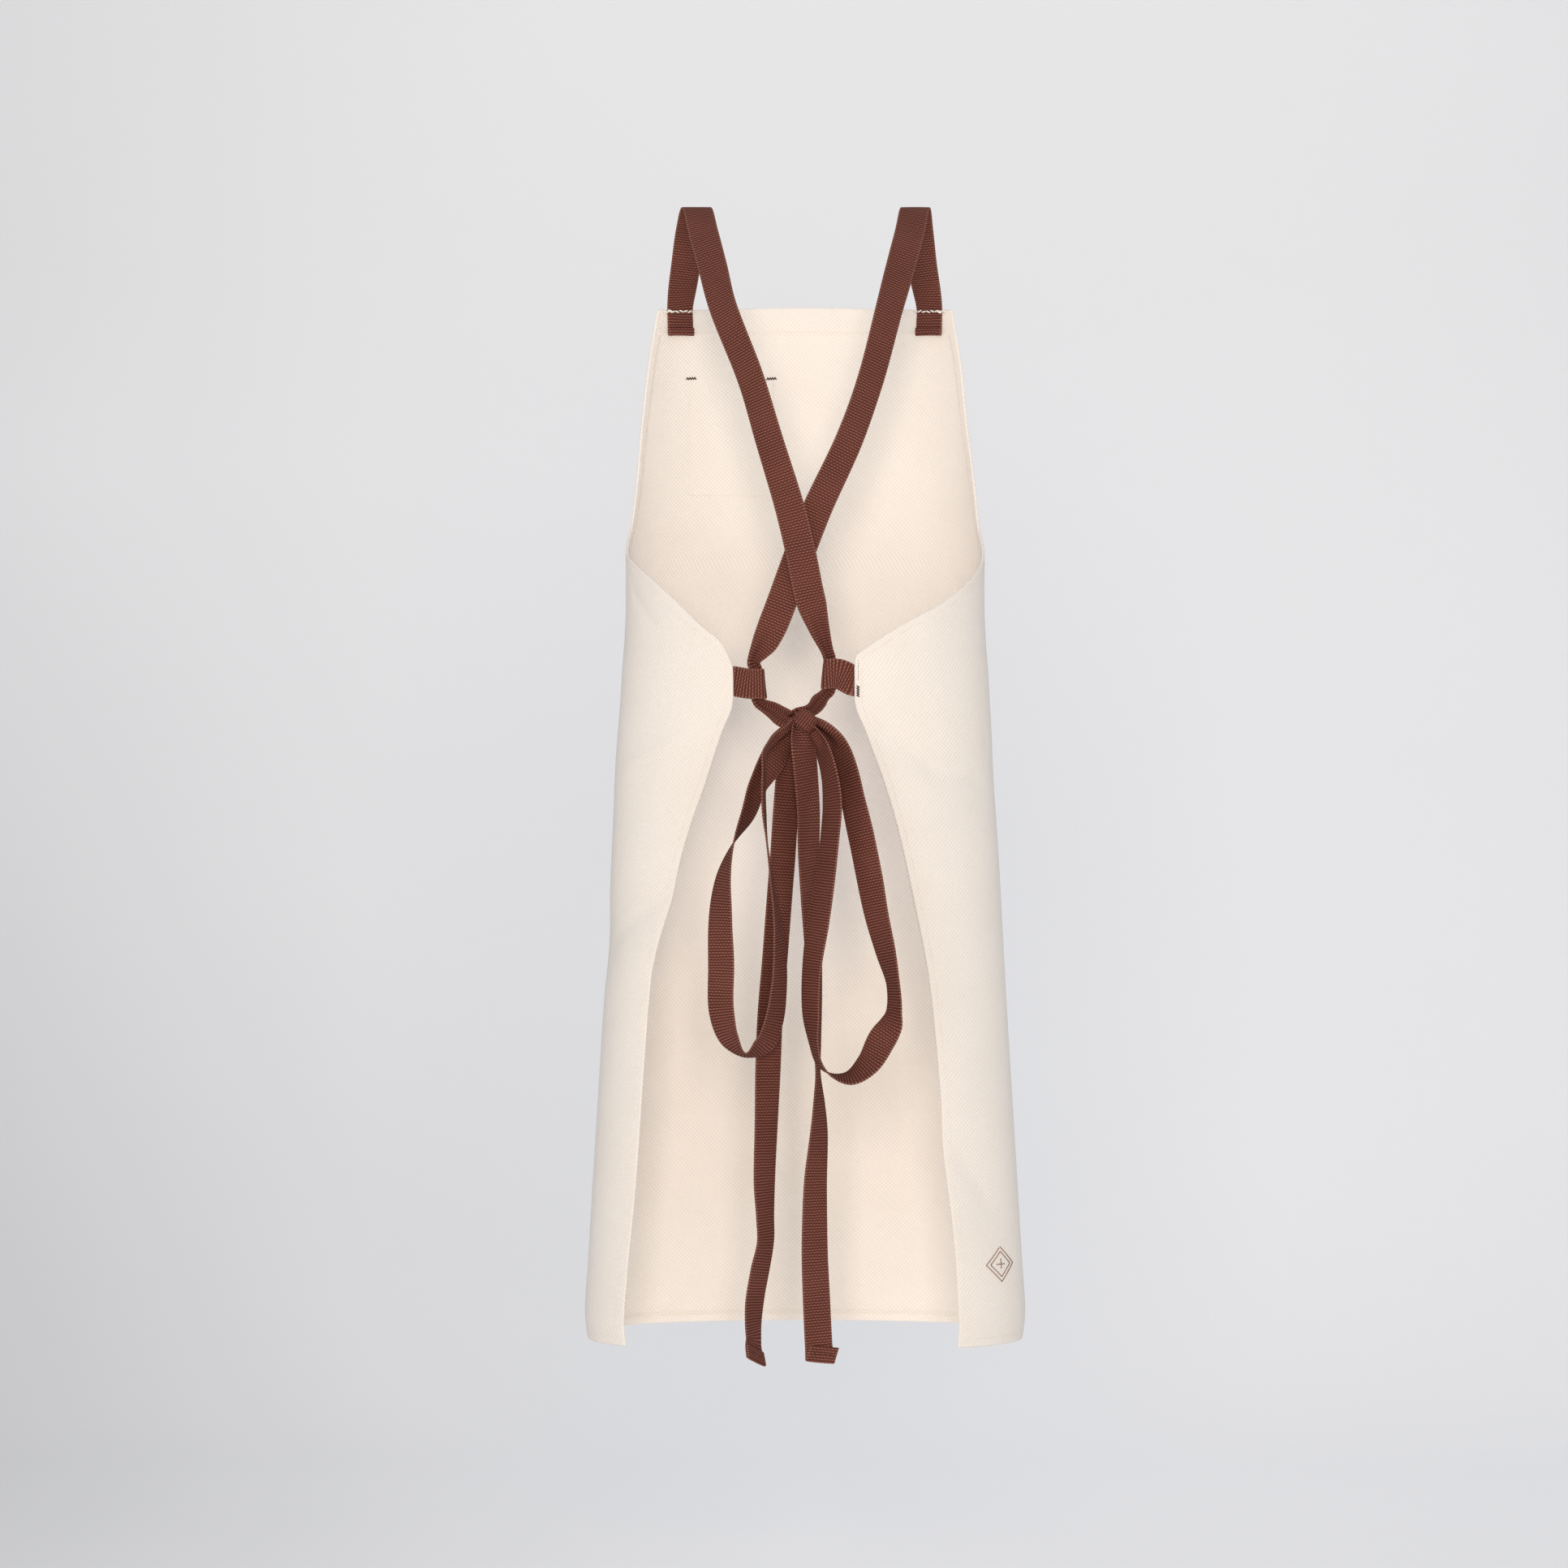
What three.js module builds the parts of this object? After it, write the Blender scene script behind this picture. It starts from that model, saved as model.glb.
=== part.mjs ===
import * as THREE from 'three';

// A canvas bib apron with cross-back webbing straps, in the form that it has when it is worn.
// Millimetres, +Z up. The origin is midway between the tops of the two shoulder straps, the
// bib is in front at +Y, the bow is at the wearer's back at -Y, and +X is the picture's right.

// Canvas
const APRON_LENGTH = 884;
const SHOULDER_DROP = 77;
const CHEST_HALF_WIDTH = 152;
const HEM_HALF_WIDTH = 187;
const FRONT_DEPTH = 98;
const BACK_DEPTH = 95;
const ROUNDNESS = 2.35;
const CLOTH_THICKNESS = 1.2;
const HEM_THICKNESS = 2.2;
const SIDE_HEM = 8;
const TOP_HEM = 23;
const BOTTOM_HEM = 9;
const CORNER_DROP = 5;
const CORNER_DROP_REACH = 0.15;
const FOLD_WIDTH = 26;
const FOLD_DEPTH = 4;

// Webbing
const WEBBING_WIDTH = 25;
const WEBBING_THICKNESS = 1.4;
const STUB_LENGTH = 22;
const SEWN_ACROSS = 0.722 * CHEST_HALF_WIDTH;
const STUB_SPLAY = 0.08;
const CLEARANCE = 0.4;

// Side loops, knot, bow and tails
const LOOP_DOWN = 0.372;
const LOOP_LENGTH = 27;
const LOOP_LEAD = 5;
const LOOP_ROUNDING = 0.7;
const LEFT_LOOP_RISE = -2;
const RIGHT_LOOP_RISE = 6;
const KNOT_ACROSS = -3.8;
const KNOT_OUT = 1.03 * BACK_DEPTH;
const KNOT_DROP = 33;
const KNOT_WIDTH = 26;
const KNOT_HEIGHT = 20;
const KNOT_DEPTH = 18;
const KNOT_TILT = 35;
const KNOT_SQUARENESS = 0.6;
const KNOT_APPROACH = 5;
const KNOT_CLEARANCE = 0.9;
const NECK_WIDE = 0.6;
const NECK_THICK = 1.6;
const BOW_HALF_SPREAD = 70;
const BOW_STAND = 20;
const LEFT_BOW_DROP = 280;
const RIGHT_BOW_DROP = 300;
const TAIL_LENGTH = 536;

// Chest pocket
const POCKET_WIDTH = 78;
const POCKET_HEIGHT = 107;
const POCKET_TOP = 59;
const POCKET_OFFSET = 64;
const POCKET_GAPE = 2.5;
const POCKET_HEM = 14;

// Steps of the meshes
const ROW_STEP = 38;
const ROW_SLACK = 0.01;
const CLOTH_COLUMNS = 36;
const WEBBING_STEP = 13;
const ROW_SAMPLES = 120;
const POCKET_STEPS = 8;
const KNOT_RINGS = 8;
const KNOT_SIDES = 14;
const SLOPE_STEP = 0.002;
const SLOPE_TURN = 1;
const HALVINGS = 30;

// Sections of the canvas from the top hem down. down is a share of the apron's length; side runs
// from 0, the chest's half width, to 1, the hem's; front and back are shares of the two depths;
// left and right say how far round the cloth reaches, in degrees from the middle of the front.
const CLOTH_SECTIONS = [
  { down: 0.0, side: 0.0, front: 0.97, back: 0.97, left: 65, right: 65 },
  { down: 0.06, side: 0.0, front: 0.99, back: 0.98, left: 69, right: 69 },
  { down: 0.12, side: 0.0, front: 1.0, back: 0.99, left: 72.5, right: 72 },
  { down: 0.18, side: 0.0, front: 1.0, back: 1.0, left: 76, right: 77 },
  { down: 0.22, side: 0.0, front: 1.0, back: 1.0, left: 81, right: 81 },
  { down: 0.245, side: 0.01, front: 1.0, back: 1.0, left: 92, right: 91 },
  { down: 0.26, side: 0.01, front: 1.0, back: 1.0, left: 105, right: 100 },
  { down: 0.28, side: 0.01, front: 1.0, back: 1.0, left: 116.5, right: 111.5 },
  { down: 0.3, side: 0.01, front: 1.01, back: 0.99, left: 125, right: 123 },
  { down: 0.32, side: 0.03, front: 1.01, back: 0.99, left: 133.5, right: 137.5 },
  { down: 0.335, side: 0.05, front: 1.02, back: 0.99, left: 141, right: 147.5 },
  { down: 0.35, side: 0.08, front: 1.02, back: 0.99, left: 144.5, right: 156 },
  { down: 0.36, side: 0.1, front: 1.03, back: 0.99, left: 146, right: 156.3 },
  { down: 0.39, side: 0.14, front: 1.04, back: 0.99, left: 146.3, right: 156.2 },
  { down: 0.42, side: 0.19, front: 1.05, back: 0.99, left: 142.3, right: 151 },
  { down: 0.46, side: 0.25, front: 1.07, back: 1.0, left: 137.3, right: 144.8 },
  { down: 0.51, side: 0.32, front: 1.09, back: 1.02, left: 131, right: 139.5 },
  { down: 0.57, side: 0.4, front: 1.11, back: 1.04, left: 125, right: 135 },
  { down: 0.66, side: 0.52, front: 1.14, back: 1.06, left: 119.3, right: 129.7 },
  { down: 0.76, side: 0.67, front: 1.18, back: 1.1, left: 118.4, right: 127.6 },
  { down: 0.85, side: 0.81, front: 1.21, back: 1.12, left: 117.5, right: 125.7 },
  { down: 0.93, side: 0.93, front: 1.23, back: 1.14, left: 116, right: 124.5 },
  { down: 0.975, side: 1.0, front: 1.25, back: 1.14, left: 115.3, right: 124 },
  { down: 1.0, side: 0.93, front: 1.24, back: 1.12, left: 115, right: 123.6 },
];

// Soft folds in the canvas: each is a straight crease between two places, given by the share of
// the length and the degrees round from the middle of the front; wide and deep are shares of the
// named fold size, and a positive depth stands out.
const CLOTH_FOLDS = [
  { name: 'left drag from loop', down: 0.425, turn: -132, toDown: 0.45, toTurn: -108, wide: 1.5, deep: 0.5 },
  { name: 'left hip crease', down: 0.29, turn: -112, toDown: 0.32, toTurn: -122, wide: 1.2, deep: -0.3 },
  { name: 'left thigh fold', down: 0.57, turn: -122, toDown: 0.62, toTurn: -98, wide: 1.2, deep: -0.7 },
  { name: 'right drag from loop', down: 0.42, turn: 138, toDown: 0.465, toTurn: 108, wide: 1.5, deep: -0.6 },
  { name: 'right hip fold', down: 0.38, turn: 140, toDown: 0.4, toTurn: 118, wide: 1.5, deep: 0.3 },
  { name: 'right lower fold', down: 0.81, turn: 124, toDown: 0.87, toTurn: 112, wide: 1.0, deep: -0.6 },
  { name: 'left front wave', down: 0.5, turn: -48, toDown: 1.0, toTurn: -58, wide: 1.6, deep: 1.2 },
  { name: 'right front wave', down: 0.45, turn: 42, toDown: 1.0, toTurn: 52, wide: 1.6, deep: 1.0 },
];

// Routes of webbing are read along its middle. across is a share of the chest's half width, deep
// of the front or back depth, and down of the height from the shoulder to the side loops; wide
// and thick are shares of the webbing's own size where it is gathered or folded double.
const LEFT_STRAP_ROUTE = [
  { across: -0.676, deep: 0.47, down: 0.117 },
  { across: -0.646, deep: 0.28, down: 0.046 },
  { across: -0.608, deep: 0.0, down: 0.004 },
  { across: -0.564, deep: -0.3, down: 0.066 },
  { across: -0.51, deep: -0.51, down: 0.144 },
  { across: -0.455, deep: -0.7, down: 0.226 },
  { across: -0.302, deep: -0.9, down: 0.378 },
  { across: -0.2, deep: -0.98, down: 0.506 },
  { across: -0.085, deep: -1.03, down: 0.648 },
  { across: -0.025, deep: -1.05, down: 0.741 },
  { across: 0.024, deep: -1.04, down: 0.83, wide: 1, thick: 1 },
  { across: 0.075, deep: -0.97, down: 0.893, wide: 0.7, thick: 1.3 },
];
const RIGHT_STRAP_ROUTE = [
  { across: 0.667, deep: 0.47, down: 0.117 },
  { across: 0.641, deep: 0.28, down: 0.046 },
  { across: 0.617, deep: 0.0, down: 0.004 },
  { across: 0.578, deep: -0.3, down: 0.066 },
  { across: 0.523, deep: -0.51, down: 0.144 },
  { across: 0.464, deep: -0.7, down: 0.226 },
  { across: 0.353, deep: -0.88, down: 0.385 },
  { across: 0.241, deep: -0.94, down: 0.504 },
  { across: 0.064, deep: -0.97, down: 0.647 },
  { across: -0.034, deep: -0.985, down: 0.74 },
  { across: -0.16, deep: -0.98, down: 0.868, wide: 1, thick: 1 },
  { across: -0.215, deep: -0.95, down: 0.915, wide: 0.9, thick: 1.1 },
];

// Routes of the bow and tails start at the knot. across is a share of the bow's half spread, out
// of how far the bow stands out behind the wearer, down of the piece's own drop; turn is how far
// the webbing is turned from lying flat in the picture, in degrees.
const LEFT_BOW_ROUTE = [
  { across: -0.13, out: 0.2, down: 0.028, turn: -150 },
  { across: -0.346, out: 0.4, down: 0.12, turn: -150 },
  { across: -0.509, out: 0.7, down: 0.192, turn: -128 },
  { across: -0.623, out: 0.95, down: 0.274, turn: -118 },
  { across: -0.795, out: 1.05, down: 0.36, turn: -90 },
  { across: -0.915, out: 1.05, down: 0.46, turn: -62 },
  { across: -0.953, out: 1.05, down: 0.58, turn: -40 },
  { across: -0.943, out: 1.05, down: 0.723, turn: -30 },
  { across: -0.939, out: 1.05, down: 0.855, turn: -33 },
  { across: -0.843, out: 1.05, down: 0.939, turn: -50 },
  { across: -0.652, out: 1.05, down: 0.986, turn: -80 },
  { across: -0.441, out: 1.1, down: 0.955, turn: -50 },
  { across: -0.326, out: 1.1, down: 0.89, turn: -52 },
  { across: -0.259, out: 1.15, down: 0.783, turn: -60 },
  { across: -0.25, out: 1.2, down: 0.699, turn: -66 },
  { across: -0.288, out: 1.3, down: 0.58, turn: -79 },
  { across: -0.355, out: 1.5, down: 0.46, turn: -86 },
  { across: -0.4, out: 1.75, down: 0.364, turn: -90 },
  { across: -0.44, out: 1.85, down: 0.26, turn: -84 },
  { across: -0.4, out: 1.7, down: 0.16, turn: -84 },
  { across: -0.3, out: 1.35, down: 0.085, turn: -85, wide: 0.9, thick: 1.1 },
  { across: -0.13, out: 0.75, down: 0.02, turn: -86 },
];
const RIGHT_BOW_ROUTE = [
  { across: 0.17, out: 0.55, down: 0.05, turn: -60 },
  { across: 0.3, out: 0.8, down: 0.11, turn: -60 },
  { across: 0.335, out: 0.9, down: 0.15, turn: -58 },
  { across: 0.368, out: 1.05, down: 0.229, turn: -52 },
  { across: 0.334, out: 1.15, down: 0.329, turn: -53 },
  { across: 0.276, out: 1.2, down: 0.441, turn: -50 },
  { across: 0.2, out: 1.25, down: 0.552, turn: -44 },
  { across: 0.123, out: 1.25, down: 0.688, turn: -53 },
  { across: 0.114, out: 1.25, down: 0.8, turn: -57 },
  { across: 0.152, out: 1.2, down: 0.891, turn: -74 },
  { across: 0.219, out: 1.15, down: 0.945, turn: -80 },
  { across: 0.362, out: 1.1, down: 0.976, turn: -92 },
  { across: 0.573, out: 1.05, down: 0.983, turn: -114 },
  { across: 0.793, out: 1.05, down: 0.943, turn: -139 },
  { across: 0.946, out: 1.05, down: 0.88, turn: -156 },
  { across: 1.061, out: 1.05, down: 0.836, turn: -138 },
  { across: 1.099, out: 1.05, down: 0.798, turn: -118 },
  { across: 1.089, out: 1.05, down: 0.731, turn: -114 },
  { across: 0.994, out: 1.05, down: 0.635, turn: -130 },
  { across: 0.889, out: 1.0, down: 0.537, turn: -141 },
  { across: 0.803, out: 0.9, down: 0.43, turn: -149 },
  { across: 0.708, out: 0.75, down: 0.318, turn: -149 },
  { across: 0.613, out: 0.6, down: 0.218, turn: -142 },
  { across: 0.547, out: 0.45, down: 0.139, turn: -135 },
  { across: 0.442, out: 0.2, down: 0.076, turn: -135, wide: 0.9, thick: 1.1 },
  { across: 0.25, out: 0.0, down: 0.032, turn: -140 },
];
const LEFT_TAIL_ROUTE = [
  { across: -0.06, out: -0.45, down: 0.03, turn: 25 },
  { across: -0.155, out: -0.45, down: 0.085, turn: 28 },
  { across: -0.183, out: -0.3, down: 0.141, turn: 33 },
  { across: -0.216, out: -0.25, down: 0.21, turn: 33 },
  { across: -0.25, out: -0.25, down: 0.267, turn: 33 },
  { across: -0.308, out: -0.25, down: 0.367, turn: 33 },
  { across: -0.366, out: -0.25, down: 0.455, turn: 33 },
  { across: -0.39, out: -0.25, down: 0.527, turn: 33 },
  { across: -0.414, out: -0.25, down: 0.627, turn: 41 },
  { across: -0.433, out: -0.25, down: 0.713, turn: 46 },
  { across: -0.423, out: -0.25, down: 0.77, turn: 55 },
  { across: -0.419, out: -0.25, down: 0.806, turn: 57 },
  { across: -0.486, out: -0.25, down: 0.851, turn: 52 },
  { across: -0.549, out: -0.25, down: 0.897, turn: 53 },
  { across: -0.568, out: -0.25, down: 0.931, turn: 58 },
  { across: -0.575, out: -0.25, down: 0.97, turn: 60, wide: 1, thick: 1 },
  { across: -0.57, out: -0.25, down: 0.975, turn: 60, wide: 1, thick: 2.2 },
  { across: -0.555, out: -0.25, down: 1.0, turn: 56, wide: 1, thick: 2.2 },
];
const RIGHT_TAIL_ROUTE = [
  { across: 0.02, out: 0.15, down: 0.035, turn: 35 },
  { across: 0.053, out: 0.2, down: 0.07, turn: 37 },
  { across: 0.086, out: 0.1, down: 0.141, turn: 41 },
  { across: 0.091, out: 0.0, down: 0.203, turn: 45 },
  { across: 0.116, out: -0.2, down: 0.266, turn: 48 },
  { across: 0.145, out: -0.3, down: 0.342, turn: 55 },
  { across: 0.174, out: -0.35, down: 0.43, turn: 66 },
  { across: 0.193, out: -0.35, down: 0.506, turn: 78 },
  { across: 0.198, out: -0.35, down: 0.543, turn: 82 },
  { across: 0.212, out: -0.3, down: 0.594, turn: 68 },
  { across: 0.212, out: -0.3, down: 0.638, turn: 55 },
  { across: 0.174, out: -0.3, down: 0.712, turn: 41 },
  { across: 0.164, out: -0.3, down: 0.77, turn: 34 },
  { across: 0.164, out: -0.3, down: 0.83, turn: 29 },
  { across: 0.183, out: -0.3, down: 0.897, turn: 25 },
  { across: 0.207, out: -0.3, down: 0.965, turn: 24, wide: 1, thick: 1 },
  { across: 0.21, out: -0.3, down: 0.97, turn: 22, wide: 1, thick: 2.2 },
  { across: 0.222, out: -0.3, down: 0.992, turn: 18, wide: 1, thick: 2.2 },
];

// Gathered webbing keeps its cross-section in a side loop: narrower and as much thicker.
const GATHER = 0.42;
const GATHERED_WIDTH = WEBBING_WIDTH * GATHER;
const GATHERED_THICKNESS = WEBBING_THICKNESS / GATHER;
const LOOP_SLOT = GATHERED_THICKNESS + 2 * CLEARANCE;
const LOOP_HALF_DEPTH = (LOOP_SLOT + WEBBING_THICKNESS) / 2;
const LOOP_BEND = WEBBING_THICKNESS / 2 + LOOP_ROUNDING * LOOP_HALF_DEPTH;
const LOOP_Z = -(SHOULDER_DROP + LOOP_DOWN * APRON_LENGTH);
const KNOT = new THREE.Vector3(KNOT_ACROSS, -KNOT_OUT, LOOP_Z - KNOT_DROP);
const KNOT_TURN = new THREE.Euler(0, THREE.MathUtils.degToRad(KNOT_TILT), Math.PI / 2);
const KNOT_GATHER = 0.45;

const CANVAS = { color: 0xefe4d6, roughness: 0.9, metalness: 0 };
const WEBBING = { color: 0x6b3f36, roughness: 0.8, metalness: 0 };

// Reads a column of a table at a place between its rows, smoothly and without overshoot.
function readTable(table, key, column, at) {
  let i = 0;
  while (i < table.length - 2 && table[i + 1][key] < at) {
    i += 1;
  }
  const slope = (k) => {
    const step = table[k + 1][key] - table[k][key];
    return (table[k + 1][column] - table[k][column]) / step;
  };
  const slopeAt = (k) => {
    if (k === 0 || k === table.length - 1) {
      return slope(Math.min(k, table.length - 2));
    }
    const before = slope(k - 1);
    const after = slope(k);
    return before * after <= 0 ? 0 : (2 * before * after) / (before + after);
  };
  const step = table[i + 1][key] - table[i][key];
  const t = THREE.MathUtils.clamp((at - table[i][key]) / step, 0, 1);
  const a = table[i][column];
  const b = table[i + 1][column];
  const h = t * t * (3 - 2 * t);
  return a + (b - a) * h + step * t * (1 - t) * ((1 - t) * slopeAt(i) - t * slopeAt(i + 1));
}

// How far a point of the canvas is pushed out by the folds near it.
function foldHeight(down, turn) {
  const perDegree = (CHEST_HALF_WIDTH * Math.PI) / 180 / APRON_LENGTH;
  let height = 0;
  for (const fold of CLOTH_FOLDS) {
    const along = new THREE.Vector2((fold.toTurn - fold.turn) * perDegree, fold.toDown - fold.down);
    const point = new THREE.Vector2((turn - fold.turn) * perDegree, down - fold.down);
    const t = THREE.MathUtils.clamp(point.dot(along) / along.lengthSq(), 0, 1);
    const distance = point.sub(along.multiplyScalar(t)).length() * APRON_LENGTH;
    const width = fold.wide * FOLD_WIDTH;
    height += fold.deep * FOLD_DEPTH * Math.exp(-((distance / width) ** 2));
  }
  return height;
}

// The outer face of the canvas at a share of the length and an angle round from the front: a
// rounded ring that is wider than deep, with the folds on it.
function clothPoint(down, turn) {
  const side = readTable(CLOTH_SECTIONS, 'down', 'side', down);
  const halfWidth = CHEST_HALF_WIDTH + side * (HEM_HALF_WIDTH - CHEST_HALF_WIDTH);
  const angle = THREE.MathUtils.degToRad(turn);
  const forward = Math.cos(angle) > 0;
  const share = readTable(CLOTH_SECTIONS, 'down', forward ? 'front' : 'back', down);
  const depth = share * (forward ? FRONT_DEPTH : BACK_DEPTH);
  const x = Math.abs(Math.sin(angle)) / halfWidth;
  const y = Math.abs(Math.cos(angle)) / depth;
  const radius = (x ** ROUNDNESS + y ** ROUNDNESS) ** (-1 / ROUNDNESS) + foldHeight(down, turn);
  const reach = readTable(CLOTH_SECTIONS, 'down', turn < 0 ? 'left' : 'right', down);
  const droop = CORNER_DROP * (turn / reach) ** 2 * Math.max(0, 1 - down / CORNER_DROP_REACH);
  const z = -(SHOULDER_DROP + down * APRON_LENGTH) - droop;
  return new THREE.Vector3(radius * Math.sin(angle), radius * Math.cos(angle), z);
}

// The outward direction of the canvas at a place, from its slopes along and across.
function clothNormal(down, turn) {
  const lower = clothPoint(Math.min(1, down + SLOPE_STEP), turn);
  const upper = clothPoint(Math.max(0, down - SLOPE_STEP), turn);
  const left = clothPoint(down, turn - SLOPE_TURN);
  const right = clothPoint(down, turn + SLOPE_TURN);
  return right.sub(left).cross(upper.sub(lower)).normalize().negate();
}

// Heights of the mesh rows: every section, with steps between, and a row along each hem.
function clothRows() {
  const rows = [0, TOP_HEM / APRON_LENGTH];
  for (let i = 0; i < CLOTH_SECTIONS.length - 1; i += 1) {
    const from = CLOTH_SECTIONS[i].down;
    const to = CLOTH_SECTIONS[i + 1].down;
    const steps = Math.ceil(((to - from) * APRON_LENGTH) / ROW_STEP);
    for (let k = 1; k <= steps; k += 1) {
      rows.push(from + ((to - from) * k) / steps);
    }
  }
  rows.push(1 - BOTTOM_HEM / APRON_LENGTH);
  rows.sort((a, b) => a - b);
  return rows;
}

// Angles of one mesh row: evenly spread by length, with a column along each side hem.
function clothTurns(down) {
  const left = -readTable(CLOTH_SECTIONS, 'down', 'left', down);
  const right = readTable(CLOTH_SECTIONS, 'down', 'right', down);
  const turns = [];
  const lengths = [0];
  let last = null;
  for (let i = 0; i <= ROW_SAMPLES; i += 1) {
    const turn = left + ((right - left) * i) / ROW_SAMPLES;
    const point = clothPoint(down, turn);
    if (last) {
      lengths.push(lengths[i - 1] + point.distanceTo(last));
    }
    last = point;
    turns.push(turn);
  }
  const total = lengths[ROW_SAMPLES];
  const turnAt = (length) => {
    let i = 0;
    while (i < ROW_SAMPLES - 1 && lengths[i + 1] < length) {
      i += 1;
    }
    const t = (length - lengths[i]) / (lengths[i + 1] - lengths[i]);
    return turns[i] + t * (turns[i + 1] - turns[i]);
  };
  const row = [left];
  const inner = CLOTH_COLUMNS - 2;
  for (let k = 0; k <= inner; k += 1) {
    row.push(turnAt(SIDE_HEM + ((total - 2 * SIDE_HEM) * k) / inner));
  }
  row.push(right);
  return row;
}

// Closes a wall between an outer and an inner grid of points into one mesh.
function wallMesh(outer, inner) {
  const rows = outer.length;
  const columns = outer[0].length;
  const points = [];
  for (const grid of [outer, inner]) {
    for (const row of grid) {
      for (const point of row) {
        points.push(point.x, point.y, point.z);
      }
    }
  }
  const at = (skin, r, c) => skin * rows * columns + r * columns + c;
  const faces = [];
  const quad = (a, b, c, d) => faces.push(a, b, c, a, c, d);
  for (let r = 0; r < rows - 1; r += 1) {
    for (let c = 0; c < columns - 1; c += 1) {
      quad(at(0, r, c), at(0, r, c + 1), at(0, r + 1, c + 1), at(0, r + 1, c));
      quad(at(1, r, c), at(1, r + 1, c), at(1, r + 1, c + 1), at(1, r, c + 1));
    }
    quad(at(0, r, 0), at(0, r + 1, 0), at(1, r + 1, 0), at(1, r, 0));
    quad(at(0, r, columns - 1), at(1, r, columns - 1), at(1, r + 1, columns - 1), at(0, r + 1, columns - 1));
  }
  for (let c = 0; c < columns - 1; c += 1) {
    quad(at(0, 0, c), at(1, 0, c), at(1, 0, c + 1), at(0, 0, c + 1));
    quad(at(0, rows - 1, c), at(0, rows - 1, c + 1), at(1, rows - 1, c + 1), at(1, rows - 1, c));
  }
  return closedGeometry(points, faces);
}

// A geometry from points and faces, turned so that its faces point out.
function closedGeometry(points, faces) {
  let volume = 0;
  const corner = (i) => new THREE.Vector3(points[3 * i], points[3 * i + 1], points[3 * i + 2]);
  for (let i = 0; i < faces.length; i += 3) {
    volume += corner(faces[i]).dot(corner(faces[i + 1]).cross(corner(faces[i + 2])));
  }
  const turned = volume < 0 ? faces.slice().reverse() : faces;
  const geometry = new THREE.BufferGeometry();
  geometry.setAttribute('position', new THREE.Float32BufferAttribute(points, 3));
  geometry.setIndex(turned);
  geometry.computeVertexNormals();
  return geometry;
}

function namedMesh(name, geometry, finish) {
  const mesh = new THREE.Mesh(geometry, new THREE.MeshStandardMaterial(finish));
  mesh.name = name;
  return mesh;
}

// Bib, skirt and the two wings that wrap to the back: one wall of canvas, double at the hems.
function apronPanel() {
  const rows = clothRows();
  const outer = [];
  const inner = [];
  rows.forEach((down, r) => {
    const turns = clothTurns(down);
    const inTopHem = down * APRON_LENGTH <= TOP_HEM + ROW_SLACK;
    const inBottomHem = (1 - down) * APRON_LENGTH <= BOTTOM_HEM + ROW_SLACK;
    const hemRow = inTopHem || inBottomHem;
    outer.push([]);
    inner.push([]);
    turns.forEach((turn, c) => {
      const hem = hemRow || c <= 1 || c >= turns.length - 2;
      const thickness = hem ? HEM_THICKNESS : CLOTH_THICKNESS;
      const point = clothPoint(down, turn);
      outer[r].push(point);
      inner[r].push(point.clone().addScaledVector(clothNormal(down, turn), -thickness));
    });
  });
  return namedMesh('apron_panel', wallMesh(outer, inner), CANVAS);
}

// The chest pocket: a patch that follows the bib's outer face and gapes a little at its mouth.
function chestPocket() {
  const outer = [];
  const inner = [];
  for (let r = 0; r <= POCKET_STEPS; r += 1) {
    const fall = r === 1 ? POCKET_HEM : (POCKET_HEIGHT * r) / POCKET_STEPS;
    const down = (POCKET_TOP + fall) / APRON_LENGTH;
    outer.push([]);
    inner.push([]);
    for (let c = 0; c <= POCKET_STEPS; c += 1) {
      const across = -POCKET_OFFSET + POCKET_WIDTH * (c / POCKET_STEPS - 0.5);
      const turn = turnForAcross(down, across);
      const middle = Math.sin((Math.PI * c) / POCKET_STEPS);
      const gape = POCKET_GAPE * middle * (1 - fall / POCKET_HEIGHT) ** 2;
      const thickness = r <= 1 ? HEM_THICKNESS : CLOTH_THICKNESS;
      const face = clothPoint(down, turn);
      const normal = clothNormal(down, turn);
      inner[r].push(face.clone().addScaledVector(normal, CLEARANCE + gape));
      outer[r].push(face.clone().addScaledVector(normal, CLEARANCE + gape + thickness));
    }
  }
  return namedMesh('chest_pocket', wallMesh(outer, inner), CANVAS);
}

// The angle at which the canvas lies a given distance to the side of the middle, in front.
function turnForAcross(down, across) {
  let low = -90;
  let high = 90;
  for (let i = 0; i < HALVINGS; i += 1) {
    const middle = (low + high) / 2;
    if (clothPoint(down, middle).x < across) {
      low = middle;
    } else {
      high = middle;
    }
  }
  return (low + high) / 2;
}

// A point on the canvas's inner face, lifted off it by a gap.
function insidePoint(down, turn, gap) {
  return clothPoint(down, turn).addScaledVector(clothNormal(down, turn), -(HEM_THICKNESS + gap));
}

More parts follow.
